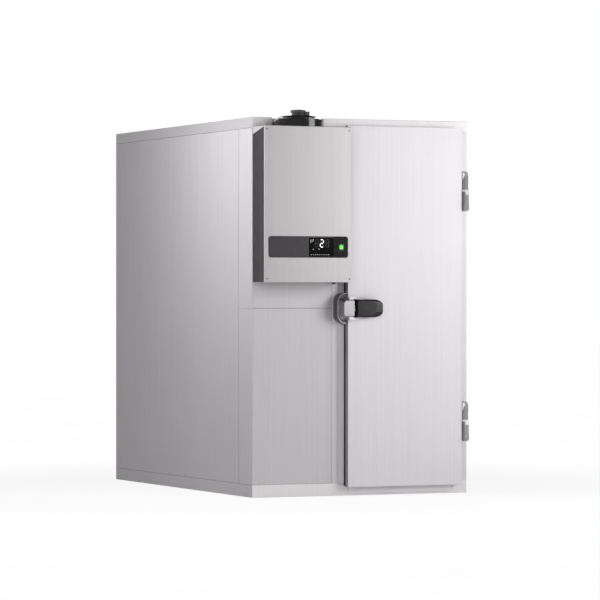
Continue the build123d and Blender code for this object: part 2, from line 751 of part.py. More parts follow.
def latch_lever():
    """Steel lever on the vertical pin: the nose to the left and the handle's tongue to the right."""
    arm_low = LATCH_HEIGHT - ARM_TALL / 2
    arm_high = LATCH_HEIGHT + ARM_TALL / 2
    lever = lever_axis_bar(HUB_RADIUS, HUB_TALL)
    lever += block(ARM_LEFT, LEVER_X, -ARM_FRONT, -ARM_BACK, arm_low, arm_high)
    lever += block(ARM_LEFT, ARM_LEFT + NOSE_WIDTH, -ARM_BACK, -NOSE_BACK, arm_low, arm_high)
    lever += tongue(0)
    return lever - lever_axis_bar(LEVER_PIN_RADIUS + PIN_RUNNING, LEVER_PIN_LENGTH)


def tongue(grow):
    half = TONGUE_TALL / 2 + grow
    return block(LEVER_X, TONGUE_RIGHT + grow, -TONGUE_FRONT - grow, -TONGUE_BACK + grow,
                 LATCH_HEIGHT - half, LATCH_HEIGHT + half)


def handle_grip():
    """Black pull handle, thick over the lever and thinner where the fingers go behind it.

    Its left end slopes back by the lever's travel, so that it stays clear of the housing when pulled.
    """
    slope = (GRIP_FRONT - LEVER_Y) * math.tan(math.radians(LEVER_TRAVEL))
    points = [(GRIP_LEFT, -GRIP_ROOT_BACK), (GRIP_ROOT_RIGHT, -GRIP_ROOT_BACK),
              (GRIP_ROOT_RIGHT + GRIP_BACK - GRIP_ROOT_BACK, -GRIP_BACK), (GRIP_RIGHT, -GRIP_BACK),
              (GRIP_RIGHT, -GRIP_FRONT), (GRIP_LEFT + slope, -GRIP_FRONT), (GRIP_LEFT, -LEVER_Y)]
    outline = make_face(Polyline(*points, close=True))
    low = LATCH_HEIGHT - GRIP_TALL / 2
    grip = extrude(Plane(origin=(0, 0, low)) * outline, GRIP_TALL)
    corners = grip.edges().filter_by(Axis.Y).group_by(Axis.X)[-1]
    grip = fillet(corners, GRIP_CORNER)
    grip = fillet(grip.faces().sort_by(Axis.Y)[0].edges(), GRIP_EDGE)
    grip -= lever_axis_bar(HUB_RADIUS + GRIP_HUB_GAP, GRIP_TALL)
    return grip - tongue(0)


def release_bush():
    """Guide through the leaf for the release rod, with a flange on the leaf's back."""
    start = (RELEASE_X, -LEAF_FRONT, LATCH_HEIGHT)
    bush = bar(RELEASE_BUSH_RADIUS, start, "Y", LEAF_FRONT - LEAF_BACK)
    bush += bar(RELEASE_FLANGE_RADIUS, (RELEASE_X, -LEAF_BACK, LATCH_HEIGHT), "Y", RELEASE_FLANGE)
    return bush - bar(RELEASE_ROD_RADIUS + RELEASE_RUNNING, start, "Y", LEAF_FRONT)


def release_rod():
    """Rod from behind the handle to the knob inside the room."""
    tip = RELEASE_TIP_GAP - GRIP_ROOT_BACK
    knob = RELEASE_FLANGE - LEAF_BACK + RELEASE_TRAVEL + RELEASE_STOP_GAP
    rod = bar(RELEASE_ROD_RADIUS, (RELEASE_X, tip, LATCH_HEIGHT), "Y", knob - tip)
    head = bar(RELEASE_KNOB_RADIUS, (RELEASE_X, knob, LATCH_HEIGHT), "Y", RELEASE_KNOB_LENGTH)
    head = fillet(head.edges().group_by(Axis.Y)[-1], RELEASE_KNOB_EDGE)
    return rod + head


def open_tray(x0, x1, y0, y1, z0, z1, wall):
    """A rectangular tray, open at the top."""
    return block(x0, x1, y0, y1, z0, z1) - block(x0 + wall, x1 - wall, y0 + wall, y1 - wall, z0 + wall, z1)


def front_cover():
    """Brushed steel front of the unit: a shallow pan with its open side to the wall."""
    back = COVER_RETURN - UNIT_DEPTH
    outer = block(UNIT_LEFT, UNIT_RIGHT, -UNIT_DEPTH, back, UNIT_BOTTOM, UNIT_TOP)
    outer = fillet(outer.faces().sort_by(Axis.Y)[0].edges(), COVER_CORNER)
    inner = block(UNIT_LEFT + COVER_SHEET, UNIT_RIGHT - COVER_SHEET, COVER_SHEET - UNIT_DEPTH, back,
                  UNIT_BOTTOM + COVER_SHEET, UNIT_TOP - COVER_SHEET)
    cover = outer - inner - cover_screws() - key_space()
    display = block(DISPLAY_LEFT + DISPLAY_LIP, DISPLAY_LEFT + DISPLAY_WIDTH - DISPLAY_LIP, -UNIT_DEPTH, back,
                    DISPLAY_BOTTOM + DISPLAY_LIP, DISPLAY_BOTTOM + DISPLAY_TALL - DISPLAY_LIP)
    ring = bar(RING_OUTER + RING_GAP, (FAN_X, FAN_Y, CORNER_TOP), "Z", FAN_RING_TOP - CORNER_TOP)
    return cover - display - ring


def cover_screws():
    """Four round-headed screws at the corners of the front cover."""
    screws = []
    for x in (UNIT_LEFT + COVER_SCREW_INSET_X, UNIT_RIGHT - COVER_SCREW_INSET_X):
        for z in (UNIT_BOTTOM + COVER_SCREW_INSET_Z, UNIT_TOP - COVER_SCREW_INSET_Z):
            head_y = -UNIT_DEPTH - COVER_SCREW_HEAD_HEIGHT
            shank = bar(COVER_SCREW_RADIUS, (x, head_y, z), "Y", COVER_SCREW_LENGTH)
            screws.append(shank + bar(COVER_SCREW_HEAD, (x, head_y, z), "Y", COVER_SCREW_HEAD_HEIGHT))
    return screws


def unit_chassis():
    """Base, back plate and the rear halves of the sides, welded from sheets that stand on the base."""
    left = CHASSIS_LEFT
    right = CHASSIS_RIGHT
    floor = CHASSIS_BOTTOM + BASE_SHEET
    base = block(left, right, -SIDE_FRONT, 0, CHASSIS_BOTTOM, floor)
    for index in range(INLET_SLOTS):
        x = INLET_LEFT + index * INLET_PITCH
        base -= block(x, x + INLET_SLOT, INLET_START - SIDE_FRONT, INLET_END - SIDE_FRONT,
                      CHASSIS_BOTTOM, floor)
    base -= bar(GLAND_RADIUS - GLAND_THREAD, (GLAND_X, GLAND_Y, CHASSIS_BOTTOM), "Z", BASE_SHEET)
    back = block(left, right, -CHASSIS_SHEET, 0, floor, CORNER_TOP)
    back -= block(NOTCH_LEFT + COIL_PLATE, NOTCH_RIGHT - COIL_PLATE, -CHASSIS_SHEET, 0,
                  NOTCH_BOTTOM + COIL_PLATE, CORNER_TOP)
    back -= drain_pipe(PIPE_CLEARANCE)
    sides = [block(x, x + CHASSIS_SHEET, -SIDE_SEAM, -CHASSIS_SHEET, floor, CORNER_TOP)
             for x in (left, right - CHASSIS_SHEET)]
    return [base, back] + sides


def unit_side_panels():
    """The front halves of the unit's sides, which meet the rear halves at the seam."""
    panels = []
    bottom = CHASSIS_BOTTOM + BASE_SHEET
    for x in (CHASSIS_LEFT, CHASSIS_RIGHT - CHASSIS_SHEET):
        panels.append(block(x, x + CHASSIS_SHEET, -SIDE_FRONT, -SIDE_SEAM - SIDE_GAP, bottom, CORNER_TOP))
    return panels


def unit_top_plate():
    """Top of the unit, with a tongue that closes the opening in the ceiling round the fan."""
    plate = block(CHASSIS_LEFT, CHASSIS_RIGHT, -SIDE_FRONT, 0, CORNER_TOP, CORNER_TOP + TOP_SHEET)
    plate += block(NOTCH_LEFT + COIL_PLATE, NOTCH_RIGHT - COIL_PLATE, 0, NOTCH_BACK - COIL_PLATE,
                   CORNER_TOP, CORNER_TOP + TOP_SHEET)
    return plate - bar(RING_OUTER - FAN_RING_WALL, (FAN_X, FAN_Y, CORNER_TOP), "Z", TOP_SHEET)


def fan_ring():
    """Round duct of the condenser fan, with a rolled upper shoulder."""
    bottom = CORNER_TOP + TOP_SHEET
    height = FAN_RING_TOP - bottom
    outer = bar(RING_OUTER, (FAN_X, FAN_Y, bottom), "Z", height)
    outer = fillet(outer.edges().group_by(Axis.Z)[-1], FAN_RING_SHOULDER)
    return outer - bar(RING_OUTER - FAN_RING_WALL, (FAN_X, FAN_Y, bottom), "Z", height)


def fan_guard():
    """Slotted dome over the fan, which carries the motor."""
    outer = RING_OUTER - FAN_RING_SHOULDER
    top = FAN_RING_TOP + GUARD_RISE
    points = [(0, top - GUARD_SHEET), (MOTOR_RADIUS, top - GUARD_SHEET), (outer, FAN_RING_TOP),
              (outer, FAN_RING_TOP + GUARD_SHEET), (MOTOR_RADIUS, top), (0, top)]
    section = make_face(Polyline(*points, close=True))
    dome = revolve(Plane.XZ * section, Axis.Z)
    first = MOTOR_RADIUS + GUARD_RIM
    last = outer - GUARD_RIM
    slots = []
    for index in range(GUARD_SLOTS):
        slot = Pos((first + last) / 2, 0, FAN_RING_TOP) * Box(last - first, GUARD_SLOT, 4 * GUARD_RISE)
        slots.append(Rot(0, 0, index * 360 / GUARD_SLOTS) * slot)
    dome -= slots
    dome -= Cylinder(MOTOR_SHAFT + RUNNING_GAP, 4 * FAN_RING_TOP)
    return Pos(FAN_X, FAN_Y, 0) * dome


def fan_rotor(hub_radius, hub_length, tip_radius, chord, bore):
    """A fan about the Z axis from the origin up: a hub and tilted blades."""
    rotor = bar(hub_radius, (0, 0, 0), "Z", hub_length)
    span = tip_radius - hub_radius + BLADE_ROOT
    for index in range(BLADE_COUNT):
        blade = Pos(hub_radius - BLADE_ROOT + span / 2, 0, hub_length / 2) * Rot(BLADE_PITCH, 0, 0)
        rotor += Rot(0, 0, index * 360 / BLADE_COUNT) * blade * Box(span, chord, BLADE_THICK)
    return rotor - bar(bore, (0, 0, 0), "Z", hub_length)


def condenser_fan():
    rotor = fan_rotor(FAN_HUB_RADIUS, FAN_HUB_TALL, BLADE_RADIUS, BLADE_CHORD, MOTOR_SHAFT + SHAFT_RUNNING)
    return Pos(FAN_X, FAN_Y, FAN_HUB_BOTTOM) * rotor


def fan_motor():
    """Motor on top of the guard, its shaft down through the fan, and its connector box."""
    bottom = FAN_RING_TOP + GUARD_RISE
    body = bar(MOTOR_RADIUS, (FAN_X, FAN_Y, bottom), "Z", MOTOR_TOP - bottom)
    body = fillet(body.edges().group_by(Axis.Z)[-1], MOTOR_EDGE)
    body += bar(MOTOR_SHAFT, (FAN_X, FAN_Y, FAN_HUB_BOTTOM), "Z", bottom - FAN_HUB_BOTTOM)
    left = FAN_X + MOTOR_RADIUS - CONNECTOR_INTO
    box = block(left, left + CONNECTOR_LENGTH, FAN_Y - CONNECTOR_WIDTH / 2, FAN_Y + CONNECTOR_WIDTH / 2,
                bottom, bottom + CONNECTOR_TALL)
    return body + box


def coil(left, right, front, back, bottom, top, plate_bottom, plate_top):
    """Finned coil: end plates, thin fins between them and straight tubes through all of them."""
    rows = int((back - front) / COIL_TUBE_PITCH)
    levels = int((top - bottom) / COIL_TUBE_PITCH)
    deep = (back - front) / rows
    tall = (top - bottom) / levels
    places = [(front + deep * (row + 0.5), bottom + tall * (level + 0.5))
              for row in range(rows) for level in range(levels)]
    tubes = [bar(COIL_TUBE, (left, y, z), "X", right - left) for y, z in places]
    holes = [bar(COIL_TUBE + COIL_HOLE_GAP, (0, y, z), "X", COIL_PLATE) for y, z in places]
    plate = block(0, COIL_PLATE, front, back, plate_bottom, plate_top) - holes
    fin = block(0, FIN_THICK, front, back, bottom, top) - holes
    inner = right - left - 2 * COIL_PLATE
    count = int(inner / FIN_PITCH)
    fins = [Pos(left + COIL_PLATE + index * inner / count - FIN_THICK / 2, 0, 0) * fin
            for index in range(1, count)]
    plates = [Pos(left, 0, 0) * plate, Pos(right - COIL_PLATE, 0, 0) * plate]
    return plates + fins + tubes


def condenser_coil():
    return coil(COIL_LEFT, COIL_LEFT + COIL_WIDTH, -COIL_FRONT, COIL_BACK, COIL_BOTTOM,
                COIL_BOTTOM + COIL_TALL, COIL_BOTTOM, CORNER_TOP)


def compressor():
    """Hermetic shell on a base plate with four feet."""
    base = CHASSIS_BOTTOM + BASE_SHEET
    start = (COMPRESSOR_X, COMPRESSOR_Y, base + COMPRESSOR_FOOT)
    shell = bar(COMPRESSOR_RADIUS, start, "Z", COMPRESSOR_TALL)
    shell = fillet(shell.edges().filter_by(GeomType.CIRCLE), COMPRESSOR_EDGE)
    reach = COMPRESSOR_RADIUS - FOOT_RADIUS
    plate = Pos(COMPRESSOR_X, COMPRESSOR_Y, start[2] + BASE_SHEET / 2)
    shell += plate * Box(2 * COMPRESSOR_RADIUS, 2 * COMPRESSOR_RADIUS, BASE_SHEET)
    for x in (COMPRESSOR_X - reach, COMPRESSOR_X + reach):
        for y in (COMPRESSOR_Y - reach, COMPRESSOR_Y + reach):
            shell += bar(FOOT_RADIUS, (x, y, base), "Z", COMPRESSOR_FOOT)
    return shell


def evaporating_tray():
    base = CHASSIS_BOTTOM + BASE_SHEET
    return open_tray(TRAY_LEFT, TRAY_LEFT + TRAY_WIDTH, -TRAY_FRONT, TRAY_DEPTH - TRAY_FRONT,
                     base, base + TRAY_TALL, TRAY_WALL)


def filter_drier():
    body = bar(DRIER_RADIUS, (DRIER_X, DRIER_Y, DRIER_BOTTOM), "Z", DRIER_LENGTH)
    return fillet(body.edges().filter_by(GeomType.CIRCLE), DRIER_EDGE)


def cooler_coil_box():
    """Left, right, front and back of the coil in the air cooler."""
    return (COOLER_LEFT + COOLER_COIL_INSET, COOLER_RIGHT - COOLER_COIL_INSET,
            COOLER_FRONT + COOLER_COIL_START, COOLER_FRONT + COOLER_COIL_START + COOLER_COIL_DEPTH)


def discharge_pipe(grow):
    top = CHASSIS_BOTTOM + BASE_SHEET + COMPRESSOR_FOOT + COMPRESSOR_TALL
    x = COIL_LEFT - PIPE_STANDOFF
    y = COMPRESSOR_Y
    high = COIL_BOTTOM + COIL_TUBE_PITCH / 2
    return tube([(x, y, top), (x, y, high), (COIL_LEFT, y, high)], PIPE_RADIUS + grow, PIPE_BEND)


def condensate_line(grow):
    """Liquid pipe from the condenser to the filter drier."""
    x = COIL_LEFT - 2 * PIPE_STANDOFF
    high = COIL_BOTTOM + COIL_TALL - COIL_TUBE_PITCH / 2
    low = DRIER_BOTTOM + DRIER_LENGTH + DRIER_RUN
    points = [(COIL_LEFT, DRIER_Y, high), (x, DRIER_Y, high), (x, DRIER_Y, low),
              (DRIER_X, DRIER_Y, low), (DRIER_X, DRIER_Y, DRIER_BOTTOM + DRIER_LENGTH)]
    return tube(points, PIPE_RADIUS + grow, PIPE_BEND)


def liquid_line(grow):
    """Pipe from the filter drier through the plug to the right end of the cooler's coil."""
    _, right, front, back = cooler_coil_box()
    low = DRIER_BOTTOM - PIPE_STANDOFF
    wall_y = PIPE_WALL_RUN
    turn = front - PIPE_STANDOFF
    side = right + PIPE_STANDOFF - PIPE_RADIUS
    points = [(DRIER_X, DRIER_Y, DRIER_BOTTOM), (DRIER_X, DRIER_Y, low), (DRIER_X, wall_y, low),
              (DRIER_X, wall_y, PIPE_HEIGHT), (DRIER_X, turn, PIPE_HEIGHT), (side, turn, PIPE_HEIGHT),
              (side, (front + back) / 2, PIPE_HEIGHT), (right, (front + back) / 2, PIPE_HEIGHT)]
    return tube(points, PIPE_RADIUS + grow, PIPE_BEND)


def suction_line(grow):
    """Pipe from the left end of the cooler's coil through the plug back to the compressor."""
    left, _, front, back = cooler_coil_box()
    top = CHASSIS_BOTTOM + BASE_SHEET + COMPRESSOR_FOOT + COMPRESSOR_TALL
    x = COMPRESSOR_X + SUCTION_OFFSET
    turn = front - PIPE_STANDOFF
    side = left - PIPE_STANDOFF + PIPE_RADIUS
    middle = (front + back) / 2
    points = [(left, middle, PIPE_HEIGHT), (side, middle, PIPE_HEIGHT), (side, turn, PIPE_HEIGHT),
              (x, turn, PIPE_HEIGHT), (x, PIPE_WALL_RUN, PIPE_HEIGHT), (x, PIPE_WALL_RUN, top + DRIER_RUN),
              (x, COMPRESSOR_Y + SUCTION_OFFSET, top + DRIER_RUN), (x, COMPRESSOR_Y + SUCTION_OFFSET, top)]
    return tube(points, PIPE_RADIUS + grow, PIPE_BEND)


def refrigerant_pipes(grow=0):
    return [discharge_pipe(grow), condensate_line(grow), liquid_line(grow), suction_line(grow)]


def cable_gland():
    """Round gland for the supply cable, through the base of the unit."""
    base = CHASSIS_BOTTOM
    gland = bar(GLAND_RADIUS, (GLAND_X, GLAND_Y, base - GLAND_DROP), "Z", GLAND_DROP)
    gland += bar(GLAND_RADIUS - GLAND_THREAD, (GLAND_X, GLAND_Y, base), "Z", BASE_SHEET)
    gland += bar(GLAND_RADIUS, (GLAND_X, GLAND_Y, base + BASE_SHEET), "Z", GLAND_NUT)
    bore = bar(GLAND_BORE, (GLAND_X, GLAND_Y, base - GLAND_DROP), "Z", GLAND_DROP + BASE_SHEET + GLAND_NUT)
    return gland - bore


def control_board():
    """Closed box behind the control panel, fixed to the right side of the unit."""
    right = CHASSIS_RIGHT - CHASSIS_SHEET
    return block(BOARD_LEFT, right, -BOARD_FRONT, BOARD_DEPTH - BOARD_FRONT,
                 PANEL_BOTTOM, PANEL_BOTTOM + PANEL_TALL)


def key_block(grow, front, back):
    return block(KEY_LEFT - grow, KEY_LEFT + KEY_WIDTH + grow, front, back,
                 KEY_BOTTOM - grow, KEY_BOTTOM + KEY_TALL + grow)


def key_space():
    return key_block(KEY_GAP, -UNIT_DEPTH - PANEL_THICK, COVER_SHEET - UNIT_DEPTH)


def power_button():
    """Square green key that is pushed towards the wall."""
    back = -BOARD_FRONT - KEY_TRAVEL - RUNNING_GAP
    key = key_block(0, -UNIT_DEPTH - PANEL_THICK - KEY_PROUD, back)
    return fillet(key.edges().filter_by(Axis.Y), KEY_CORNER)


def display_block(front):
    return block(DISPLAY_LEFT, DISPLAY_LEFT + DISPLAY_WIDTH, front, -UNIT_DEPTH,
                 DISPLAY_BOTTOM, DISPLAY_BOTTOM + DISPLAY_TALL)


def display_window():
    """Dark window over the display, a little proud of the panel."""
    return display_block(-UNIT_DEPTH - PANEL_THICK - DISPLAY_PROUD)


def control_panel():
    """Dark bezel on the front cover, with openings for the window and the key."""
    front = -UNIT_DEPTH - PANEL_THICK
    panel = block(PANEL_LEFT, PANEL_LEFT + PANEL_WIDTH, front, -UNIT_DEPTH,
                  PANEL_BOTTOM, PANEL_BOTTOM + PANEL_TALL)
    panel = fillet(panel.edges().filter_by(Axis.Y), PANEL_CORNER)
    return panel - display_block(front) - key_space()


def insulated_plug():
    """Foam-filled box inside the room that closes the opening behind the unit."""
    top = CORNER_TOP
    outer = block(COOLER_LEFT, COOLER_RIGHT, WALL, COOLER_FRONT, COOLER_PLUG_BOTTOM, top)
    outer -= block(NOTCH_LEFT, NOTCH_RIGHT, WALL, NOTCH_BACK, NOTCH_BOTTOM, top)
    return outer - refrigerant_pipes(PIPE_CLEARANCE)


def cooler_fan_hole(radius, start, length):
    x = (COOLER_LEFT + COOLER_RIGHT) / 2
    return bar(radius, (x, start, COOLER_FAN_Z), "Y", length)


def evaporator_housing():
    """Sheet housing of the air cooler under the ceiling, with slots at its sides and a fan opening."""
    sheet = COOLER_SHEET
    low = COOLER_BOTTOM + sheet
    high = CORNER_TOP - sheet
    bottom = block(COOLER_LEFT, COOLER_RIGHT, COOLER_FRONT, COOLER_BACK, COOLER_BOTTOM, low)
    bottom -= bar(DRAIN_RADIUS, (DRAIN_X, COOLER_FRONT + DRAIN_INSET, COOLER_BOTTOM), "Z", sheet)
    top = block(COOLER_LEFT, COOLER_RIGHT, COOLER_FRONT, COOLER_BACK, high, CORNER_TOP)
    back = block(COOLER_LEFT, COOLER_RIGHT, COOLER_FRONT, COOLER_FRONT + sheet, low, high)
    back -= refrigerant_pipes(PIPE_CLEARANCE)
    front = block(COOLER_LEFT, COOLER_RIGHT, COOLER_BACK - sheet, COOLER_BACK, low, high)
    front -= cooler_fan_hole(COOLER_FAN_OPENING, COOLER_BACK - sheet, sheet)
    slots = []
    for index in range(COOLER_SLOT_COUNT):
        z = COOLER_COIL_BOTTOM + index * COOLER_COIL_TALL / COOLER_SLOT_COUNT
        slots.append(block(COOLER_LEFT, COOLER_RIGHT, COOLER_FRONT + SLOT_START,
                           COOLER_FRONT + SLOT_END, z, z + COOLER_SLOT))
    sides = [block(x, x + sheet, COOLER_FRONT + sheet, COOLER_BACK - sheet, low, high) - slots
             for x in (COOLER_LEFT, COOLER_RIGHT - sheet)]
    return [bottom, top, back, front] + sides


def evaporator_coil():
    left, right, front, back = cooler_coil_box()
    return coil(left, right, front, back, COOLER_COIL_BOTTOM, COOLER_COIL_BOTTOM + COOLER_COIL_TALL,
                COOLER_BOTTOM + COOLER_SHEET, CORNER_TOP - COOLER_SHEET)


def evaporator_fan():
    x = (COOLER_LEFT + COOLER_RIGHT) / 2
    start = COOLER_BACK - COOLER_FAN_GAP - COOLER_FAN_DEPTH
    rotor = fan_rotor(COOLER_MOTOR_RADIUS, COOLER_FAN_DEPTH, COOLER_FAN_RADIUS, COOLER_CHORD,
                      MOTOR_SHAFT + SHAFT_RUNNING)
    return Pos(x, start, COOLER_FAN_Z) * Rot(-90, 0, 0) * rotor


def evaporator_guard():
    """Ring and spokes over the fan opening, with a round plate that carries the motor."""
    start = COOLER_BACK
    outer = COOLER_FAN_OPENING + GUARD_RIM
    ring = cooler_fan_hole(outer, start, GUARD_SHEET)
    ring -= cooler_fan_hole(COOLER_FAN_OPENING, start, GUARD_SHEET)
    ring += cooler_fan_hole(COOLER_MOTOR_RADIUS + GUARD_RIM, start, GUARD_SHEET)
    middle = (COOLER_MOTOR_RADIUS + COOLER_FAN_OPENING) / 2
    ring += cooler_fan_hole(middle + GUARD_WIRE, start, GUARD_SHEET) - cooler_fan_hole(
        middle - GUARD_WIRE, start, GUARD_SHEET)
    centre = Pos((COOLER_LEFT + COOLER_RIGHT) / 2, start + GUARD_SHEET / 2, COOLER_FAN_Z)
    for index in range(GUARD_SPOKES):
        spoke = Box(2 * outer - GUARD_RIM, GUARD_SHEET, 2 * GUARD_WIRE)
        spoke = Rot(0, index * 180 / GUARD_SPOKES, 0) * spoke
        ring += centre * spoke
    return ring - cooler_fan_hole(MOTOR_SHAFT + RUNNING_GAP, start, GUARD_SHEET)


def evaporator_motor():
    start = COOLER_BACK + GUARD_SHEET
    body = cooler_fan_hole(COOLER_MOTOR_RADIUS, start, COOLER_MOTOR_LENGTH)
    body = fillet(body.edges().group_by(Axis.Y)[-1], MOTOR_EDGE)
    shaft = start - COOLER_BACK + COOLER_FAN_GAP + COOLER_FAN_DEPTH
    return body + cooler_fan_hole(MOTOR_SHAFT, start - shaft, shaft)


def drain_path():
    """Route of the drain: out of the drip tray, through the panel and down over the tray below."""
    inside = COOLER_FRONT + DRAIN_INSET
    low = CHASSIS_BOTTOM + BASE_SHEET + TRAY_TALL
    return [(DRAIN_X, inside, COOLER_BOTTOM - DRIP_TALL), (DRAIN_X, inside, DRAIN_HEIGHT),
            (DRAIN_X, PIPE_WALL_RUN, DRAIN_HEIGHT), (DRAIN_X, PIPE_WALL_RUN, low)]


def drain_pipe(grow):
    return tube(drain_path(), DRAIN_RADIUS + grow, DRAIN_BEND)


def drip_tray():
    """Tray under the air cooler, in one piece with its drain pipe."""
    bottom = COOLER_BOTTOM - DRIP_TALL
    tray = open_tray(COOLER_LEFT + DRIP_INSET, COOLER_RIGHT - DRIP_INSET, COOLER_FRONT + DRIP_INSET,
                     COOLER_BACK - DRIP_INSET, bottom, COOLER_BOTTOM, DRIP_WALL)
    bore = tube(drain_path(), DRAIN_RADIUS - DRIP_WALL, DRAIN_BEND)
    mouth = (DRAIN_X, COOLER_FRONT + DRAIN_INSET, bottom)
    return tray + drain_pipe(0) - bore - bar(DRAIN_RADIUS - DRIP_WALL, mouth, "Z", DRIP_WALL)


def main():
    os.makedirs("parts", exist_ok=True)
    pieces = {
        "floor_panel": floor_panel(),
        "floor_tread": floor_tread(),
        "threshold_plate": threshold_plate(),
        "ceiling_panel_front": ceiling_panel(0, CEILING_JOINT),
        "ceiling_panel_rear": ceiling_panel(CEILING_JOINT, ROOM_DEPTH),
        "wall_panel_left": wall_panel_side(0),
        "wall_panel_right": wall_panel_side(ROOM_WIDTH - WALL),
        "wall_panel_rear": wall_panel_rear(),
        "corner_panel_lower": with_locks(corner_panel(FLOOR, CORNER_JOINT_HEIGHT)),
        "corner_panel_upper": corner_panel_upper(),
        "door_post_left": door_post(CORNER_WIDTH, DOORWAY_LEFT),
        "door_post_right": door_post(DOORWAY_RIGHT, ROOM_WIDTH),
        "door_header": door_header(),
        "door_frame": frame_flange() - hinge_bolts(),
        "cam_locks": cam_locks(),
        "cam_lock_caps": cam_lock_caps(),
        "lamp_base": lamp_base(),
        "lamp_globe": lamp_globe(),
        "door_leaf": door_leaf(),
        "door_gasket": door_gasket(),
        "hinge_frame_parts": hinge_frame_parts(),
        "hinge_door_parts": hinge_door_parts(),
        "hinge_pins": hinge_pins(),
        "hinge_rings": hinge_rings(),
        "hinge_bolts": hinge_bolts(),
        "keeper_housing": keeper_housing(),
        "keeper_roller": keeper_roller(),
        "keeper_pin": keeper_pin(),
        "latch_housing": latch_housing(),
        "latch_lever": latch_lever(),
        "lever_pin": lever_pin(),
        "handle_grip": handle_grip(),
        "release_rod": release_rod(),
        "release_bush": release_bush(),
        "unit_chassis": unit_chassis(),
        "unit_side_panels": unit_side_panels(),
        "front_cover": front_cover(),
        "cover_screws": cover_screws(),
        "unit_top_plate": unit_top_plate(),
        "fan_ring": fan_ring(),
        "fan_guard": fan_guard(),
        "condenser_fan": condenser_fan(),
        "fan_motor": fan_motor(),
        "condenser_coil": condenser_coil(),
        "compressor": compressor(),
        "evaporating_tray": evaporating_tray(),
        "filter_drier": filter_drier(),
        "refrigerant_pipes": refrigerant_pipes(),
        "control_board": control_board(),
        "control_panel": control_panel(),
        "display_window": display_window(),
        "power_button": power_button(),
        "cable_gland": cable_gland(),
        "insulated_plug": insulated_plug(),
        "evaporator_housing": evaporator_housing(),
        "evaporator_coil": evaporator_coil(),
        "evaporator_fan": evaporator_fan(),
        "evaporator_motor": evaporator_motor(),
        "evaporator_guard": evaporator_guard(),
        "drip_tray": drip_tray(),
    }
    for name, shape in pieces.items():
        save(name, shape)


main()
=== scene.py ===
"""Looks of a walk-in cold room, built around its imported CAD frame.

Places in the code are millimetres from the front left corner of the room's floor, with X to the
right, Y to the back and Z up. corner() turns them into metres in the shared frame.
"""

import json
import logging
import math
from dataclasses import dataclass
from enum import Enum
from typing import Any, Callable, Iterable, Sequence

import bmesh
import bpy
from mathutils import Matrix, Vector

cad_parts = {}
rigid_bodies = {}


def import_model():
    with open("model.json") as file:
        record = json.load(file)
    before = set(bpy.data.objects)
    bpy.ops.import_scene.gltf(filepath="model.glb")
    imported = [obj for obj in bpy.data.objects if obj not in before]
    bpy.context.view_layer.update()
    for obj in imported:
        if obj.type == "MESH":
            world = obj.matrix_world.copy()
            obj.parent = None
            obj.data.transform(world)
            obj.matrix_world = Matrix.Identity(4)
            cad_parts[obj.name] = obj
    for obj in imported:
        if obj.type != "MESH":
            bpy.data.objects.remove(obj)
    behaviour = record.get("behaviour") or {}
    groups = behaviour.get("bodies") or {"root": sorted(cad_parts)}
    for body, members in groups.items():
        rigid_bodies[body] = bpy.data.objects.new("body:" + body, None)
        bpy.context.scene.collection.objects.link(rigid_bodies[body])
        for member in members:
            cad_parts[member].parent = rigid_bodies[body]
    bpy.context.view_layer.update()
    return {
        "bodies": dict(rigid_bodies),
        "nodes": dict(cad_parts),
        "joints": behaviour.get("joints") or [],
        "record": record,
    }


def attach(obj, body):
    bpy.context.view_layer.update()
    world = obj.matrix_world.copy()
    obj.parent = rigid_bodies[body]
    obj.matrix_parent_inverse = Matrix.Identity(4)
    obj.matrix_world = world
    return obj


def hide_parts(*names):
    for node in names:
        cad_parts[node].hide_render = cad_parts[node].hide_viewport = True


LOG = logging.getLogger("cold_room")

MM = 0.001
HALF_WIDTH = 660.0
HALF_DEPTH = 1060.0

Point = tuple[float, float, float]
Pair = tuple[float, float]
Outline = Sequence[Pair]
Frame = dict[str, Any]
Mesh = bpy.types.Mesh
Tree = bpy.types.NodeTree
Node = bpy.types.Node
Socket = bpy.types.NodeSocket
Detail = tuple[Socket, Socket, Socket]


class Body(Enum):
    """Bodies of the frame that pieces ride on."""

    ROOM = "room"
    DOOR = "door"
    LEVER = "lever"
    RELEASE = "release"
    CONDENSER_ROTOR = "condenser_rotor"
    COOLER_ROTOR = "cooler_rotor"
    KEY = "key"


def corner(x: float, y: float, z: float) -> Vector:
    """Turn a place in millimetres from the front left corner into metres in the shared frame."""
    return Vector(((x - HALF_WIDTH) * MM, (y - HALF_DEPTH) * MM, z * MM))


def even(size: float) -> Point:
    """Give a grain the same size along X, Y and Z."""
    return size, size, size


def linear(hex_colour: str) -> tuple[float, float, float, float]:
    """Turn an sRGB colour such as "c0c0c0" into linear RGBA.

    Args:
        hex_colour: six hex digits.

    Returns:
        Linear red, green, blue and an alpha of 1.
    """
    channels = [int(hex_colour[i:i + 2], 16) / 255 for i in (0, 2, 4)]
    red, green, blue = (c / 12.92 if c <= 0.04045 else ((c + 0.055) / 1.055) ** 2.4 for c in channels)
    return red, green, blue, 1.0


def add(tree: Tree, kind: str, settings: dict[str, Any] | None = None, **inputs: Any) -> Node:
    """Add a node, with its settings and its inputs.

    Args:
        tree: the node tree.
        kind: the node's type name.
        settings: attributes of the node.
        inputs: sockets to link, or constants. Underscores stand for spaces, and "in0" is the first socket.

    Returns:
        The new node.
    """
    node = tree.nodes.new(kind)
    for name, value in (settings or {}).items():
        setattr(node, name, value)
    for name, value in inputs.items():
        key = int(name[2:]) if name[:2] == "in" and name[2:].isdigit() else name.replace("_", " ")
        socket = node.inputs[key]
        if isinstance(value, Socket):
            tree.links.new(value, socket)
        else:
            socket.default_value = value
    return node


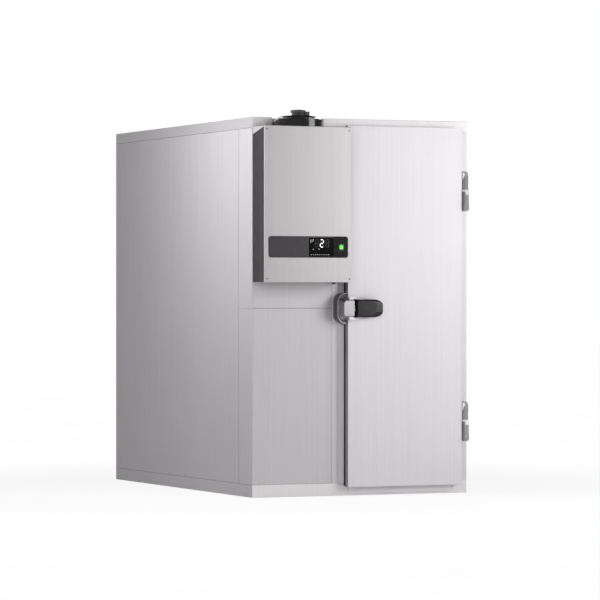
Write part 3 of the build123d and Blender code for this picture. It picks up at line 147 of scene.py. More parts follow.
def maths(tree: Tree, operation: str, first: Socket | float, second: Socket | float) -> Socket:
    """Add one step of arithmetic."""
    return add(tree, "ShaderNodeMath", {"operation": operation}, in0=first, in1=second).outputs[0]


def ranged(tree: Tree, value: Socket, low: Socket | float, high: Socket | float) -> Socket:
    """Spread a value from 0 to 1 between two limits."""
    return add(tree, "ShaderNodeMapRange", Value=value, To_Min=low, To_Max=high).outputs[0]


def faded(tree: Tree, value: Socket, start: Pair, end: Pair) -> Socket:
    """Fade softly from one value and its result to another value and its result."""
    return add(tree, "ShaderNodeMapRange", {"interpolation_type": "SMOOTHSTEP"}, Value=value,
               From_Min=start[0], From_Max=end[0], To_Min=start[1], To_Max=end[1]).outputs[0]


def combine(tree: Tree, first: Socket | float, second: Socket | float, share: Socket | float) -> Socket:
    """Mix two values, with a share of the second."""
    return add(tree, "ShaderNodeMix", {"data_type": "FLOAT"}, in0=share, in2=first, in3=second).outputs[0]


def tinted(tree: Tree, share: Socket, first: str, second: str) -> Socket:
    """Mix two sRGB hex colours, with a share of the second."""
    return add(tree, "ShaderNodeMix", {"data_type": "RGBA"}, in0=share, in6=linear(first),
               in7=linear(second)).outputs[2]


class Pattern(Enum):
    """Surface detail that a finish can carry, named for the method of Texture that draws it."""

    BRUSHED = "brushed"
    POWDER = "powder"
    MOULDED = "moulded"
    PLATED = "plated"
    CAST = "cast"
    TARNISHED = "tarnished"
    RUBBER = "rubber"


@dataclass(frozen=True)
class Texture:
    """Tree of a material, with the patterns that a surface can carry.

    A pattern takes a finish and gives three sockets from 0 to 1: colour share, roughness share and height.

    Attributes:
        tree: the material's tree.
        place: Object coordinates in metres.
    """

    tree: Tree
    place: Socket

    def scaled(self, size: Point) -> Socket:
        """Scale the coordinates, so that 1 is the given size in millimetres."""
        return add(self.tree, "ShaderNodeMapping", Vector=self.place,
                   Scale=[1 / (side * MM) for side in size]).outputs[0]

    def grains(self, size: Point, detail: float = 2.0, sharpness: float = 0.5, times: float = 1.0) -> Socket:
        """Add a noise whose grains have a real size.

        Args:
            size: grain size in millimetres along X, Y and Z.
            detail: octaves.
            sharpness: share of each finer octave.
            times: how many times coarser the grains are than that size.

        Returns:
            The noise from 0 to 1.
        """
        place = self.scaled(tuple(side * times for side in size))
        return add(self.tree, "ShaderNodeTexNoise", Vector=place, Scale=1.0, Detail=detail,
                   Roughness=sharpness).outputs[0]

    def window(self, value: Socket, low: float, high: float) -> Socket:
        """Spread the part of a value between two limits to 0 to 1."""
        return add(self.tree, "ShaderNodeMapRange", {"clamp": True}, Value=value, From_Min=low,
                   From_Max=high).outputs[0]

    def brushed(self, finish: "Finish") -> Detail:
        """Draw fine lines left by a belt, broader bands and faint finger marks.

        Args:
            finish: the finish, whose grain is long along the brushing.

        Returns:
            The detail.
        """
        wide, deep, tall = finish.grain
        lines = self.grains(finish.grain, 3.0, 0.7)
        bands = self.grains((wide * 12, deep * 12, tall * 3), 2.0, 0.6)
        marks = self.grains((190.0, 190.0, 260.0), 4.0, 0.55)
        fine = self.window(lines, 0.3, 0.7)
        tone = combine(self.tree, fine, self.window(bands, 0.35, 0.65), finish.spread)
        rough = combine(self.tree, fine, self.window(marks, 0.35, 0.7), 0.15)
        return combine(self.tree, tone, self.window(marks, 0.4, 0.65), 0.06), rough, lines

    def powder(self, finish: "Finish") -> Detail:
        """Draw the orange peel of a sprayed coat with slight shade changes."""
        peel, shade = self.grains(finish.grain), self.grains(finish.grain, 3.0, times=60)
        return self.window(shade, 0.35, 0.65), self.window(peel, 0.3, 0.7), peel

    def moulded(self, finish: "Finish") -> Detail:
        """Draw the spark-eroded grain of a moulding, with polished places where it is touched."""
        cells = add(self.tree, "ShaderNodeTexVoronoi", Vector=self.scaled(finish.grain), Scale=1.0).outputs[0]
        touched = self.grains(even(30.0), 3.0)
        return self.window(touched, 0.35, 0.7), self.window(touched, 0.65, 0.35), cells

    def plated(self, finish: "Finish") -> Detail:
        """Draw bright plating: nearly smooth, with faint buffing haze."""
        haze = self.grains(finish.grain, 3.0, times=12)
        return self.window(haze, 0.4, 0.7), self.window(haze, 0.3, 0.7), self.grains(finish.grain, 1.0)

    def cast(self, finish: "Finish") -> Detail:
        """Draw die-cast metal: small pits and cloudy shade."""
        cloud = self.window(self.grains(finish.grain, 3.0, times=25), 0.35, 0.65)
        return cloud, cloud, self.window(self.grains(finish.grain, 4.0, 0.6), 0.35, 0.6)

    def tarnished(self, finish: "Finish") -> Detail:
        """Draw the darker tarnish clouds of drawn metal."""
        cloud = self.grains((14.0, 14.0, 22.0), 5.0, 0.6)
        return self.window(cloud, 0.42, 0.68), self.window(cloud, 0.3, 0.7), self.grains(finish.grain)

    def rubber(self, finish: "Finish") -> Detail:
        """Draw extruded rubber with a dusty bloom."""
        bloom = self.grains((40.0, 40.0, 160.0), 4.0)
        return self.window(bloom, 0.45, 0.75), self.window(bloom, 0.35, 0.65), self.grains(finish.grain)


def node_material(name: str, shader: Callable[[Texture], Socket]) -> bpy.types.Material:
    """Build a material, or return the one already built.

    Args:
        name: the material's name.
        shader: adds the material's nodes and gives their last socket.

    Returns:
        The node material.
    """
    made = bpy.data.materials.get(name)
    if made is None:
        made = bpy.data.materials.new(name)
        made.use_nodes = True
        tree = made.node_tree
        tree.nodes.clear()
        place = add(tree, "ShaderNodeTexCoord").outputs["Object"]
        add(tree, "ShaderNodeOutputMaterial", Surface=shader(Texture(tree, place)))
    return made


@dataclass(frozen=True)
class Surface:
    """What the finishes share.

    Attributes:
        name: the material's name.
        slot: the record's material slot; not used.
        colour: sRGB hex colour of the clean surface, or of its light.
    """

    name: str
    slot: str
    colour: str

    def shader(self, texture: Texture) -> Socket:
        """Add the finish's nodes and give their last socket."""
        raise NotImplementedError

    def material(self) -> bpy.types.Material:
        """Return the finish's material."""
        return node_material(self.name, self.shader)


@dataclass(frozen=True)
class Finish(Surface):
    """One real surface finish.

    Attributes:
        worn: sRGB hex colour that the pattern mixes in.
        pattern: the surface detail.
        grain: size of the detail in millimetres, along X, Y and Z.
        metallic: share of metal.
        roughness: lowest and highest roughness.
        bump: depth of the relief in millimetres.
        coat: strength of a clear coat.
        spread: how much of the worn colour shows.
        shine: specular level of a surface that isn't metal.
    """

    worn: str
    pattern: Pattern
    grain: Point
    metallic: float
    roughness: Pair
    bump: float
    coat: float = 0.0
    spread: float = 0.5
    shine: float = 0.5

    def shader(self, texture: Texture) -> Socket:
        """Mix the two colours, the roughness and the relief by the pattern.

        Args:
            texture: the material's tree.

        Returns:
            The shader.
        """
        tree = texture.tree
        tone, rough, height = getattr(texture, self.pattern.value)(self)
        relief = add(tree, "ShaderNodeBump", Height=height, Strength=1.0, Distance=self.bump * MM)
        return add(tree, "ShaderNodeBsdfPrincipled", Base_Color=tinted(tree, tone, self.colour, self.worn),
                   Metallic=self.metallic, Roughness=ranged(tree, rough, *self.roughness),
                   Normal=relief.outputs[0], Coat_Weight=self.coat,
                   Specular_IOR_Level=self.shine).outputs[0]


@dataclass(frozen=True)
class Glow(Surface):
    """Lit surface of a display or a key.

    Attributes:
        strength: emission strength.
        centre: where the light is brightest, in metres.
        reach: distance in metres at which it has faded, or 0 for an even light.
        rim: sRGB hex colour of the unlit rim.
    """

    strength: float
    centre: Point = (0.0, 0.0, 0.0)
    reach: float = 0.0
    rim: str = "101210"

    def shader(self, texture: Texture) -> Socket:
        """Light the surface with faint spots, and let the light fade where it has a reach.

        Args:
            texture: the material's tree.

        Returns:
            The shader.
        """
        tree, colour = texture.tree, linear(self.colour)
        spots = texture.window(texture.grains(even(3.0)), 0.2, 0.8)
        level = ranged(tree, spots, self.strength * 0.85, self.strength)
        base: Any = colour
        if self.reach:
            away = add(tree, "ShaderNodeVectorMath", {"operation": "DISTANCE"}, in0=texture.place,
                       in1=self.centre)
            fade = faded(tree, away.outputs["Value"], (self.reach * 0.15, 1.0), (self.reach, 0.0))
            level = maths(tree, "MULTIPLY", level, fade)
            base = tinted(tree, fade, self.rim, self.colour)
        return add(tree, "ShaderNodeBsdfPrincipled", Base_Color=base, Roughness=0.25, Emission_Color=colour,
                   Emission_Strength=level).outputs[0]


@dataclass(frozen=True)
class OpalGlass(Surface):
    """Milk glass of the ceiling lamp, blown into a mould: soft and cloudy, and light shines through it."""

    def shader(self, texture: Texture) -> Socket:
        """Add the cloudy glass."""
        cloud = texture.window(texture.grains(even(25.0), 3.0), 0.3, 0.7)
        return add(texture.tree, "ShaderNodeBsdfPrincipled", Base_Color=linear(self.colour),
                   Roughness=ranged(texture.tree, cloud, 0.12, 0.22), Transmission_Weight=0.35, IOR=1.5,
                   Subsurface_Weight=0.3, Subsurface_Radius=(0.01, 0.01, 0.01)).outputs[0]


# Hair lines of a belt that ran up and down, in millimetres, drawn coarser than real so that they show
UPRIGHT = (0.9, 0.9, 420.0)


def sheet(name: str, colour: str, worn: str, metallic: float, roughness: Pair, grain: Point = UPRIGHT,
          slot: str = "steel_panel", spread: float = 0.6) -> Finish:
    """Cold-rolled stainless sheet, brushed with a belt along its longest grain."""
    return Finish(name, slot, colour, worn, Pattern.BRUSHED, grain, metallic, roughness, 0.02, spread=spread)


def coated(name: str, colour: str, worn: str) -> Finish:
    """Anthracite powder sprayed on sheet and baked, which leaves a fine orange peel and little shine."""
    return Finish(name, "grey_sheet", colour, worn, Pattern.POWDER, even(0.9), 0.0, (0.42, 0.55), 0.05,
                  shine=0.15)


def chromed(name: str, colour: str, worn: str, metallic: float = 0.6,
            roughness: Pair = (0.20, 0.30)) -> Finish:
    """Zinc casting, buffed and plated with chrome: soft mirror with waves 14 mm long."""
    return Finish(name, "chrome", colour, worn, Pattern.PLATED, even(14.0), metallic, roughness, 0.001)


def plastic(name: str, slot: str, colour: str, worn: str, roughness: Pair, grain: float = 0.6,
            bump: float = 0.02, **gloss: float) -> Finish:
    """Injection-moulded plastic with the spark-eroded grain of its mould."""
    return Finish(name, slot, colour, worn, Pattern.MOULDED, even(grain), 0.0, roughness, bump, **gloss)


# Stainless sheet of the walls, brushed upright: satin, with faint upright streaks
SIDE_STEEL = sheet("stainless_sheet_side", "a5a2a5", "9b989b", 0.25, (0.42, 0.56))
# The same sheet where it is folded round the front corner
EDGE_STEEL = sheet("stainless_sheet_edge", "a7a4a7", "9e9b9e", 0.25, (0.42, 0.56))
# The same sheet on the corner panel's front, painted lighter and more metallic than on the walls: a painted
# reflection of the bright hall
FRONT_STEEL = sheet("stainless_sheet_front", "bfbbbe", "b8b4b7", 0.45, (0.40, 0.54))
# The same sheet over the door, and on the front edges of the roof and the floor, painted much lighter than on
# the walls: painted light
HEAD_STEEL = sheet("stainless_sheet_head", "dcd9db", "d5d2d4", 0.35, (0.40, 0.54))
# Sheet of the door leaf and its posts, brushed a little finer, and painted lighter than the corner panel's
# front: painted light
DOOR_STEEL = sheet("stainless_sheet_door", "cfccd0", "c8c5c9", 0.35, (0.38, 0.52))
# The leaf's folded side, painted much darker than the leaf's front, which the light hardly reaches: painted
# shade
DOOR_EDGE = sheet("stainless_sheet_door_edge", "8e8b8e", "858285", 0.35, (0.42, 0.56))
# Sheet of the roof, brushed from front to back, on the ceiling's side and top: painted shade, darker than the
# ceiling's front
ROOF_STEEL = sheet("stainless_sheet_roof", "a9a6a9", "9c9a9c", 0.45, (0.42, 0.56), (0.9, 420.0, 0.9))
# Threshold, brushed along its length, painted very light so that it stays bright in the door leaf's shadow:
# painted light
THRESHOLD_STEEL = sheet("stainless_threshold", "efecef", "e4e1e4", 0.2, (0.40, 0.54), (300.0, 0.9, 0.9),
                        "stainless")
# The unit's front cover, brushed finer than the panels, so that it mirrors more of the room
COVER_STEEL = sheet("stainless_sheet_cover", "b5b2b4", "aca9ab", 0.6, (0.30, 0.42), (0.7, 0.7, 300.0),
                    "stainless", 0.55)
# Extruded plastic profile of the door frame: pale and matt, with faint lines from the die
FRAME_GREY = Finish("door_frame_profile", "frame_plastic", "e4e0e3", "dad7d9", Pattern.BRUSHED,
                    (1.2, 1.2, 500.0), 0.1, (0.42, 0.55), 0.02)
# Aluminium foil stamped into fins: bright, with rolling lines
FIN_METAL = Finish("fin_aluminium", "aluminium", "c9cbce", "aeb1b5", Pattern.BRUSHED, (40.0, 0.6, 0.6), 1.0,
                   (0.25, 0.4), 0.01)
# Aluminium tread sheet, rolled from front to back: lozenges over a dull sheet
TREAD_METAL = Finish("tread_aluminium", "chequer_plate", "b9bbbd", "9b9da0", Pattern.BRUSHED,
                     (0.8, 300.0, 0.8), 1.0, (0.32, 0.48), 0.02)
# Powder coat inside the unit and on its top
DARK_SHEET = coated("powder_coat_anthracite", "282628", "232123")
# The same coat on the unit's sides
DARKER_SHEET = coated("powder_coat_anthracite_front", "2a282a", "252325")
# Zinc-plated steel of screws, pins and the lever, tumbled before plating: grey with cloudy shade
ZINC = Finish("zinc_plated_steel", "zinc_steel", "b4b4b6", "8e8e92", Pattern.CAST, even(0.6), 1.0,
              (0.28, 0.45), 0.03)
# Plating of the latch housing, as its front shows it
CHROME = chromed("chrome_plating", "a9a6a9", "9b989b")
# The bevel that faces up, painted darker and more metallic: a painted reflection of the dark above
CHROME_TOP = chromed("chrome_plating_top", "9f9c9f", "918e91", 0.9)
# The face that turns away to the left, painted darker: painted shade
CHROME_SHADE = chromed("chrome_plating_shade", "868386", "787578")
# Satin plating of the wings beside the handle
CHROME_SATIN = chromed("chrome_plating_satin", "c6c3c6", "bcb9bc", 0.25, (0.34, 0.42))
# Rim round the keeper: a real chrome roll, painted much lighter than the housing's plating, which is a
# painted highlight
RIM_CHROME = chromed("chrome_rim", "efedef", "e2dfe2")
# Glass-filled nylon of both fans, their guards and small parts: black with a sharp wet-looking shine
BLACK_PLASTIC = plastic("black_nylon", "black_plastic", "151415", "1d1c1d", (0.12, 0.18), 0.7, 0.01,
                        shine=0.8)
# The same nylon on the handle, polished by hands
HANDLE_BLACK = plastic("handle_black_nylon", "black_plastic", "141214", "191719", (0.16, 0.22), 0.7, 0.008,
                       shine=0.28)
# Moulded ABS of the control panel: charcoal with a fine grain
CHARCOAL = plastic("charcoal_plastic", "dark_plastic", "322f32", "363336", (0.32, 0.36), shine=0.35)
# The same ABS on the keeper, in a lighter grey
KEEPER_GREY = plastic("charcoal_plastic_keeper", "dark_plastic", "464346", "4d4a4d", (0.32, 0.36), shine=0.35)
# Darker half of the control panel, round the key
PANEL_BLACK = plastic("panel_black_plastic", "dark_plastic", "1a181a", "1e1c1e", (0.34, 0.38), shine=0.1)
# White ABS of caps, the drip tray, the roller and the lamp's base: soft shine on a light grain
WHITE_PLASTIC = plastic("white_moulded_plastic", "white_plastic", "e4e3e0", "dad8d3", (0.38, 0.5), 0.8, 0.03)
# Unfilled nylon of the hinges' rings, collars and caps: light grey and smooth
LIGHT_PLASTIC = plastic("light_grey_nylon", "white_plastic", "ece9ec", "e0dde0", (0.35, 0.5), 0.7, 0.03)
# Green ABS of the release knob, which shows up inside the room
KEY_GREEN = plastic("green_key_plastic", "green_plastic", "3f9a5a", "53ad6b", (0.25, 0.35), 0.8, coat=0.3)
# Zinc castings of the hinges, sprayed mid-grey: satin over small casting pits
HINGE_GREY = Finish("hinge_grey_paint", "grey_plastic", "989598", "8b888b", Pattern.CAST, even(0.8), 0.0,
                    (0.42, 0.55), 0.05, shine=0.25)
# Silicone sealant, smoothed into the joints between the panels: dark grey and dull
SEALANT = Finish("joint_sealant", "rubber", "2a282a", "353335", Pattern.RUBBER, even(0.8), 0.0, (0.55, 0.75),
                 0.03, shine=0.2)
# Extruded rubber of the door seal: black with a dusty bloom
SEAL_RUBBER = Finish("seal_rubber", "rubber", "111012", "1d1b1d", Pattern.RUBBER, even(0.8), 0.0,
                     (0.55, 0.75), 0.05)
# Copper tube, drawn and bent: bright orange with brown clouds where it was brazed
COPPER = Finish("drawn_copper", "copper", "c07a52", "7d4a35", Pattern.TARNISHED, even(1.0), 1.0,
                (0.22, 0.42), 0.02)
# Enamel sprayed on the compressor, the motors and the cover's screws: deep black, nearly without shine
ENAMEL = Finish("black_enamel", "black_enamel", "0e0e0f", "131214", Pattern.POWDER, even(2.0), 0.0,
                (0.44, 0.54), 0.03, shine=0.02)
# Cast acrylic window of the display, tinted black: flat and even
WINDOW_BLACK = Finish("display_acrylic", "display", "050506", "08080a", Pattern.PLATED, even(20.0), 0.0,
                      (0.30, 0.38), 0.01, shine=0.05)
# White light of the shown number
LIT_WHITE = Glow("lit_segments_white", "display", "f4f4f6", 0.85)
# Fainter light of the row of symbols
LIT_SYMBOL = Glow("lit_symbols_white", "display", "b8b8bc", 0.4)
# Segments that are off, given a faint painted glow so that they are just seen behind the window
OFF_SEGMENT_GLOW = Glow("off_segments_faint_glow", "display", "161618", 0.16)
# Sign on the key, brighter than its lit middle
LIT_SIGN = Glow("lit_green_sign", "green_plastic", "b4f5a0", 0.95)
# Green light through the middle of the key, which fades to its dark rim
LIT_GREEN = Glow("lit_green_key", "green_plastic", "46d437", 0.75, (-0.1995, -1.236, 1.383), 0.018, "0e3c16")


def to_mesh(work: bmesh.types.BMesh) -> Mesh:
    """Turn a bmesh into a mesh with its faces outward, and free it."""
    bmesh.ops.recalc_face_normals(work, faces=work.faces)
    return plain_mesh(work)


def plain_mesh(work: bmesh.types.BMesh) -> Mesh:
    """Turn a bmesh into a mesh as it is, and free it."""
    mesh = bpy.data.meshes.new("work")
    work.to_mesh(mesh)
    work.free()
    return mesh


def joined(meshes: Iterable[Mesh]) -> Mesh:
    """Put several meshes, which are removed, into one."""
    work = bmesh.new()
    for mesh in meshes:
        work.from_mesh(mesh)
        bpy.data.meshes.remove(mesh)
    return plain_mesh(work)


def linked(name: str, data: bpy.types.ID) -> bpy.types.Object:
    """Add an object with its mesh, lamp or camera to the scene."""
    thing = bpy.data.objects.new(name, data)
    bpy.context.scene.collection.objects.link(thing)
    return thing


def evaluated(carrier: bpy.types.Object) -> Mesh:
    """Make a plain mesh of an object with its modifiers."""
    graph = bpy.context.evaluated_depsgraph_get()
    return bpy.data.meshes.new_from_object(carrier.evaluated_get(graph))


def finished(name: str, mesh: Mesh, finish: Surface, body: Body = Body.ROOM, smooth: float = 35.0,
             stands_for: str = "") -> bpy.types.Object:
    """Make a piece from a mesh whose places are already in the shared frame.

    Large faces keep their own normals, so that rounded edges don't shade them.

    Args:
        name: the piece's name.
        mesh: the mesh.
        finish: its finish.
        body: the body that it rides on.
        smooth: edges sharper than this many degrees stay sharp.
        stands_for: the CAD node that it replaces, or nothing.

    Returns:
        The piece.
    """
    mesh.materials.clear()
    mesh.materials.append(finish.material())
    mesh.polygons.foreach_set("use_smooth", [True] * len(mesh.polygons))
    mesh.set_sharp_from_angle(angle=math.radians(smooth))
    piece = linked(name, mesh)
    shading = piece.modifiers.new("even_shading", "WEIGHTED_NORMAL")
    shading.keep_sharp = True
    shaded = evaluated(piece)
    piece.modifiers.remove(shading)
    piece.data = shaded
    bpy.data.meshes.remove(mesh)
    shaded.name = name
    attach(piece, body.value)
    if stands_for:
        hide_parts(stands_for)
    return piece


def dress_faces(piece: bpy.types.Object, finishes: Sequence[Surface],
                choose: Callable[[bpy.types.MeshPolygon], int]) -> None:
    """Give some faces of a piece further finishes.

    Args:
        piece: the piece.
        finishes: the further finishes.
        choose: gives a face's finish, where 0 is the piece's own.
    """
    for finish in finishes:
        piece.data.materials.append(finish.material())
    piece.data.polygons.foreach_set("material_index", [choose(face) for face in piece.data.polygons])


def bevel(work: bmesh.types.BMesh, edges: Sequence[bmesh.types.BMEdge], width: float,
          segments: int = 2) -> None:
    """Round some edges.

    Args:
        work: the bmesh.
        edges: the edges.
        width: millimetres from the edge.
        segments: number of facets.
    """
    if edges and width > 0:
        bmesh.ops.bevel(work, geom=list(edges), offset=width * MM, offset_type="OFFSET",
                        segments=segments, profile=0.5, affect="EDGES", clamp_overlap=False)


def block(low: Point, high: Point, round_off: float = 0.0, segments: int = 2) -> Mesh:
    """Make a box with rounded edges.

    Args:
        low: lowest corner in millimetres.
        high: highest corner.
        round_off: edge rounding in millimetres.
        segments: facets of the rounding.

    Returns:
        The mesh.
    """
    work = bmesh.new()
    bmesh.ops.create_cube(work, size=1.0)
    first, last = corner(*low), corner(*high)
    bmesh.ops.transform(work, verts=work.verts, matrix=Matrix.Translation((first + last) / 2)
                        @ Matrix.Diagonal((*(last - first), 1.0)))
    bevel(work, work.edges[:], round_off, segments)
    return to_mesh(work)


def flat(outline: Outline, plane: str, level: float) -> list[Vector]:
    """Place a flat outline in the shared frame.

    Args:
        outline: its points in millimetres, in the plane's two coordinates.
        plane: "XY", "XZ" or "YZ".
        level: its place along the axis that it faces.

    Returns:
        The places.
    """
    axes = plane + (set("XYZ") - set(plane)).pop()
    spots = [dict(zip(axes, (*pair, level))) for pair in outline]
    return [corner(spot["X"], spot["Y"], spot["Z"]) for spot in spots]


def skinned(rings: Sequence[Sequence[Vector]], looped: bool = False) -> Mesh:
    """Skin rings of places that lie one behind the other.

    Args:
        rings: the rings, each with as many places.
        looped: whether the last ring joins the first one. Otherwise both ends are closed.

    Returns:
        The closed mesh.
    """
    work = bmesh.new()
    made = [[work.verts.new(spot) for spot in ring] for ring in rings]
    for lower, upper in zip(made, made[1:] + made[:1] if looped else made[1:]):
        for i in range(len(lower)):
            j = (i + 1) % len(lower)
            work.faces.new((lower[i], lower[j], upper[j], upper[i]))
    if not looped:
        work.faces.new(made[0])
        work.faces.new(made[-1])
        bmesh.ops.remove_doubles(work, verts=work.verts, dist=1e-6)
    return to_mesh(work)


def loft(sections: Iterable[tuple[float, Outline]], plane: str = "XZ") -> Mesh:
    """Skin flat outlines, given with their levels, and close both ends."""
    return skinned([flat(outline, plane, level) for level, outline in sections])


def prism(outline: Outline, plane: str, start: float, end: float, round_off: float = 0.0) -> Mesh:
    """Push a flat outline along the axis that it faces.

    Args:
        outline: corners in millimetres, in the plane's two coordinates.
        plane: "XY", "XZ" or "YZ".
        start: where the push starts along the third axis.
        end: where it ends.
        round_off: rounding of the edges, of both ends alone where the outline has more than four corners.

    Returns:
        The mesh.
    """
    work = bmesh.new()
    near, far = ([work.verts.new(spot) for spot in flat(outline, plane, level)] for level in (start, end))
    caps = [work.faces.new(near), work.faces.new(far[::-1])]
    for i in range(len(near)):
        j = (i + 1) % len(near)
        work.faces.new((near[j], near[i], far[i], far[j]))
    edges = work.edges[:] if len(near) <= 4 else [edge for cap in caps for edge in cap.edges]
    bevel(work, edges, round_off)
    return to_mesh(work)


def lathe(profile: Outline, start: Point, axis: str, steps: int = 48) -> Mesh:
    """Turn an outline of (radius, distance) round an axis.

    Args:
        profile: radius and distance along the axis in millimetres, from one end to the other.
        start: where distance 0 lies.
        axis: "X", "Y" or "Z".
        steps: facets round the axis.

    Returns:
        The closed mesh.
    """
    turn = {"X": Matrix.Rotation(math.pi / 2, 4, "Y"), "Y": Matrix.Rotation(-math.pi / 2, 4, "X"),
            "Z": Matrix.Identity(4)}[axis]
    circle = [(math.cos(2 * math.pi * i / steps), math.sin(2 * math.pi * i / steps)) for i in range(steps)]
    work = bmesh.new()
    rings = [[work.verts.new((radius * MM * u, radius * MM * v, distance * MM)) for u, v in circle]
             if radius > 0 else [work.verts.new((0, 0, distance * MM))] for radius, distance in profile]
    for lower, upper in zip(rings, rings[1:]):
        for i in range(steps):
            j = (i + 1) % steps
            face = list(dict.fromkeys(ring[k % len(ring)] for ring, k in (
                (lower, i), (lower, j), (upper, j), (upper, i))))
            if len(face) > 2:
                work.faces.new(face)
    if profile[0] != profile[-1]:
        for ring in (rings[0], rings[-1]):
            if len(ring) > 2:
                work.faces.new(ring)
    bmesh.ops.remove_doubles(work, verts=work.verts, dist=1e-7)
    bmesh.ops.transform(work, verts=work.verts, matrix=Matrix.Translation(corner(*start)) @ turn)
    return to_mesh(work)


def pipe(points: Sequence[Point], radius: float) -> Mesh:
    """Make a round tube along points.

    Args:
        points: places in millimetres.
        radius: the tube's radius in millimetres.

    Returns:
        The mesh with closed ends.
    """
    curve = bpy.data.curves.new("pipe", "CURVE")
    curve.dimensions = "3D"
    curve.bevel_depth = radius * MM
    curve.bevel_resolution = 4
    curve.use_fill_caps = True
    spline = curve.splines.new("POLY")
    spline.points.add(len(points) - 1)
    for point, spot in zip(spline.points, points):
        point.co = (*corner(*spot), 1.0)
    carrier = bpy.data.objects.new("pipe", curve)
    mesh = bpy.data.meshes.new_from_object(carrier)
    bpy.data.objects.remove(carrier)
    bpy.data.curves.remove(curve)
    return mesh


def rounded_outline(low: Pair, high: Pair, radii: Sequence[float], steps: int = 8) -> Outline:
    """Outline a rectangle whose corners have their own radii.

    Args:
        low: lowest first and second coordinate in millimetres.
        high: highest ones.
        radii: corner radii, from the low-low corner anticlockwise.
        steps: points on each corner.

    Returns:
        The outline's points.
    """
    (x0, z0), (x1, z1) = low, high
    points = []
    for index, (x, z, in_x, in_z) in enumerate(((x0, z0, 1, 1), (x1, z0, -1, 1), (x1, z1, -1, -1),
                                                (x0, z1, 1, -1))):
        radius = radii[index]
        for step in range(steps):
            angle = math.pi + (index + step / (steps - 1)) * math.pi / 2
            points.append((x + in_x * radius + radius * math.cos(angle),
                           z + in_z * radius + radius * math.sin(angle)))
    return points


def inset_outline(low: Pair, high: Pair, inset: float, radius: float, steps: int) -> Outline:
    """Outline a rounded rectangle that lies an inset within its limits."""
    return rounded_outline((low[0] + inset, low[1] + inset), (high[0] - inset, high[1] - inset),
                           (radius,) * 4, steps)


def carved(mesh: Mesh, cutters: Sequence[Mesh], operation: str = "DIFFERENCE") -> Mesh:
    """Cut shapes out of a mesh, or add them to it. All of them are removed.

    Args:
        mesh: the mesh.
        cutters: the shapes.
        operation: "DIFFERENCE" or "UNION".

    Returns:
        The result.
    """
    carrier = linked("carved", mesh)
    helpers = [linked("cutter", cutter) for cutter in cutters]
    for helper in helpers:
        modifier = carrier.modifiers.new("carve", "BOOLEAN")
        modifier.operation = operation
        modifier.solver = "EXACT"
        modifier.object = helper
    result = evaluated(carrier)
    for thing in [carrier, *helpers]:
        data = thing.data
        bpy.data.objects.remove(thing)
        bpy.data.meshes.remove(data)
    return result


def tree_inputs(name: str, sockets: dict[str, str]) -> tuple[Tree, dict[str, Socket]]:
    """Start a Geometry Nodes tree with named inputs.

    Args:
        name: the tree's name.
        sockets: name and type of each input after the geometry.

    Returns:
        The tree and its inputs by name.
    """
    tree = bpy.data.node_groups.new(name, "GeometryNodeTree")
    inputs = {"Geometry": "Geometry", **sockets, "Material": "Material"}
    for socket, kind in inputs.items():
        tree.interface.new_socket(socket, in_out="INPUT", socket_type=f"NodeSocket{kind}")
    tree.interface.new_socket("Geometry", in_out="OUTPUT", socket_type="NodeSocketGeometry")
    given = add(tree, "NodeGroupInput")
    return tree, {socket: given.outputs[socket] for socket in inputs}


def tree_end(tree: Tree, given: dict[str, Socket], shape: Socket) -> Tree:
    """Close a tree with Realize Instances and Set Material.

    Args:
        tree: the tree.
        given: its inputs.
        shape: the geometry so far.

    Returns:
        The tree.
    """
    real = add(tree, "GeometryNodeRealizeInstances", Geometry=shape)
    dressed = add(tree, "GeometryNodeSetMaterial", Geometry=real.outputs[0], Material=given["Material"])
    add(tree, "NodeGroupOutput", Geometry=dressed.outputs[0])
    return tree


def line_points(tree: Tree, count: Socket, step: Socket | Point = (0.0, 0.0, 0.0)) -> Socket:
    """Add a row of points."""
    return add(tree, "GeometryNodeMeshLine", {"mode": "OFFSET"}, Count=count, Offset=step).outputs[0]


def copies(tree: Tree, points: Socket, shape: Socket, **turns: Socket) -> Socket:
    """Set a shape on points, turned or scaled."""
    return add(tree, "GeometryNodeInstanceOnPoints", Points=points, Instance=shape, **turns).outputs[0]


def vector(tree: Tree, **sides: Socket | float) -> Socket:
    """Add a vector from its X, Y and Z."""
    return add(tree, "ShaderNodeCombineXYZ", **sides).outputs[0]


def scaled_vector(tree: Tree, value: Socket, scale: Socket | float) -> Socket:
    """Multiply a vector by a number."""
    return add(tree, "ShaderNodeVectorMath", {"operation": "SCALE"}, in0=value, Scale=scale).outputs[0]


def moved(tree: Tree, shape: Socket, **change: Socket) -> Socket:
    """Move or turn a shape as a whole."""
    return add(tree, "GeometryNodeTransform", Geometry=shape, **change).outputs[0]


def shifted(tree: Tree, shape: Socket, offset: Socket) -> Socket:
    """Move each point of a shape by its own offset."""
    return add(tree, "GeometryNodeSetPosition", Geometry=shape, Offset=offset).outputs[0]


def spokes(tree: Tree, count: Socket, turn: Socket, shape: Socket) -> Socket:
    """Set copies of a shape round the origin, turned by an Euler vector from one to the next."""
    index = add(tree, "GeometryNodeInputIndex").outputs[0]
    return copies(tree, line_points(tree, count), shape, Rotation=scaled_vector(tree, turn, index))


def grid_tree() -> Tree:
    """Build the tree that sets copies of a mesh in a row of rows."""
    tree, given = tree_inputs("copies_in_a_grid", {"Count": "Int", "Step": "Vector", "Rows": "Int",
                                                   "Row Step": "Vector"})
    shape = given["Geometry"]
    for count, step in (("Count", "Step"), ("Rows", "Row Step")):
        shape = copies(tree, line_points(tree, given[count], given[step]), shape)
    return tree_end(tree, given, shape)


def ring_tree() -> Tree:
    """Build the tree that sets copies of a mesh round a centre."""
    tree, given = tree_inputs("copies_in_a_ring", {"Count": "Int", "Centre": "Vector", "Turn": "Vector"})
    shape = moved(tree, given["Geometry"], Translation=scaled_vector(tree, given["Centre"], -1.0))
    shape = spokes(tree, given["Count"], given["Turn"], shape)
    return tree_end(tree, given, moved(tree, shape, Translation=given["Centre"]))


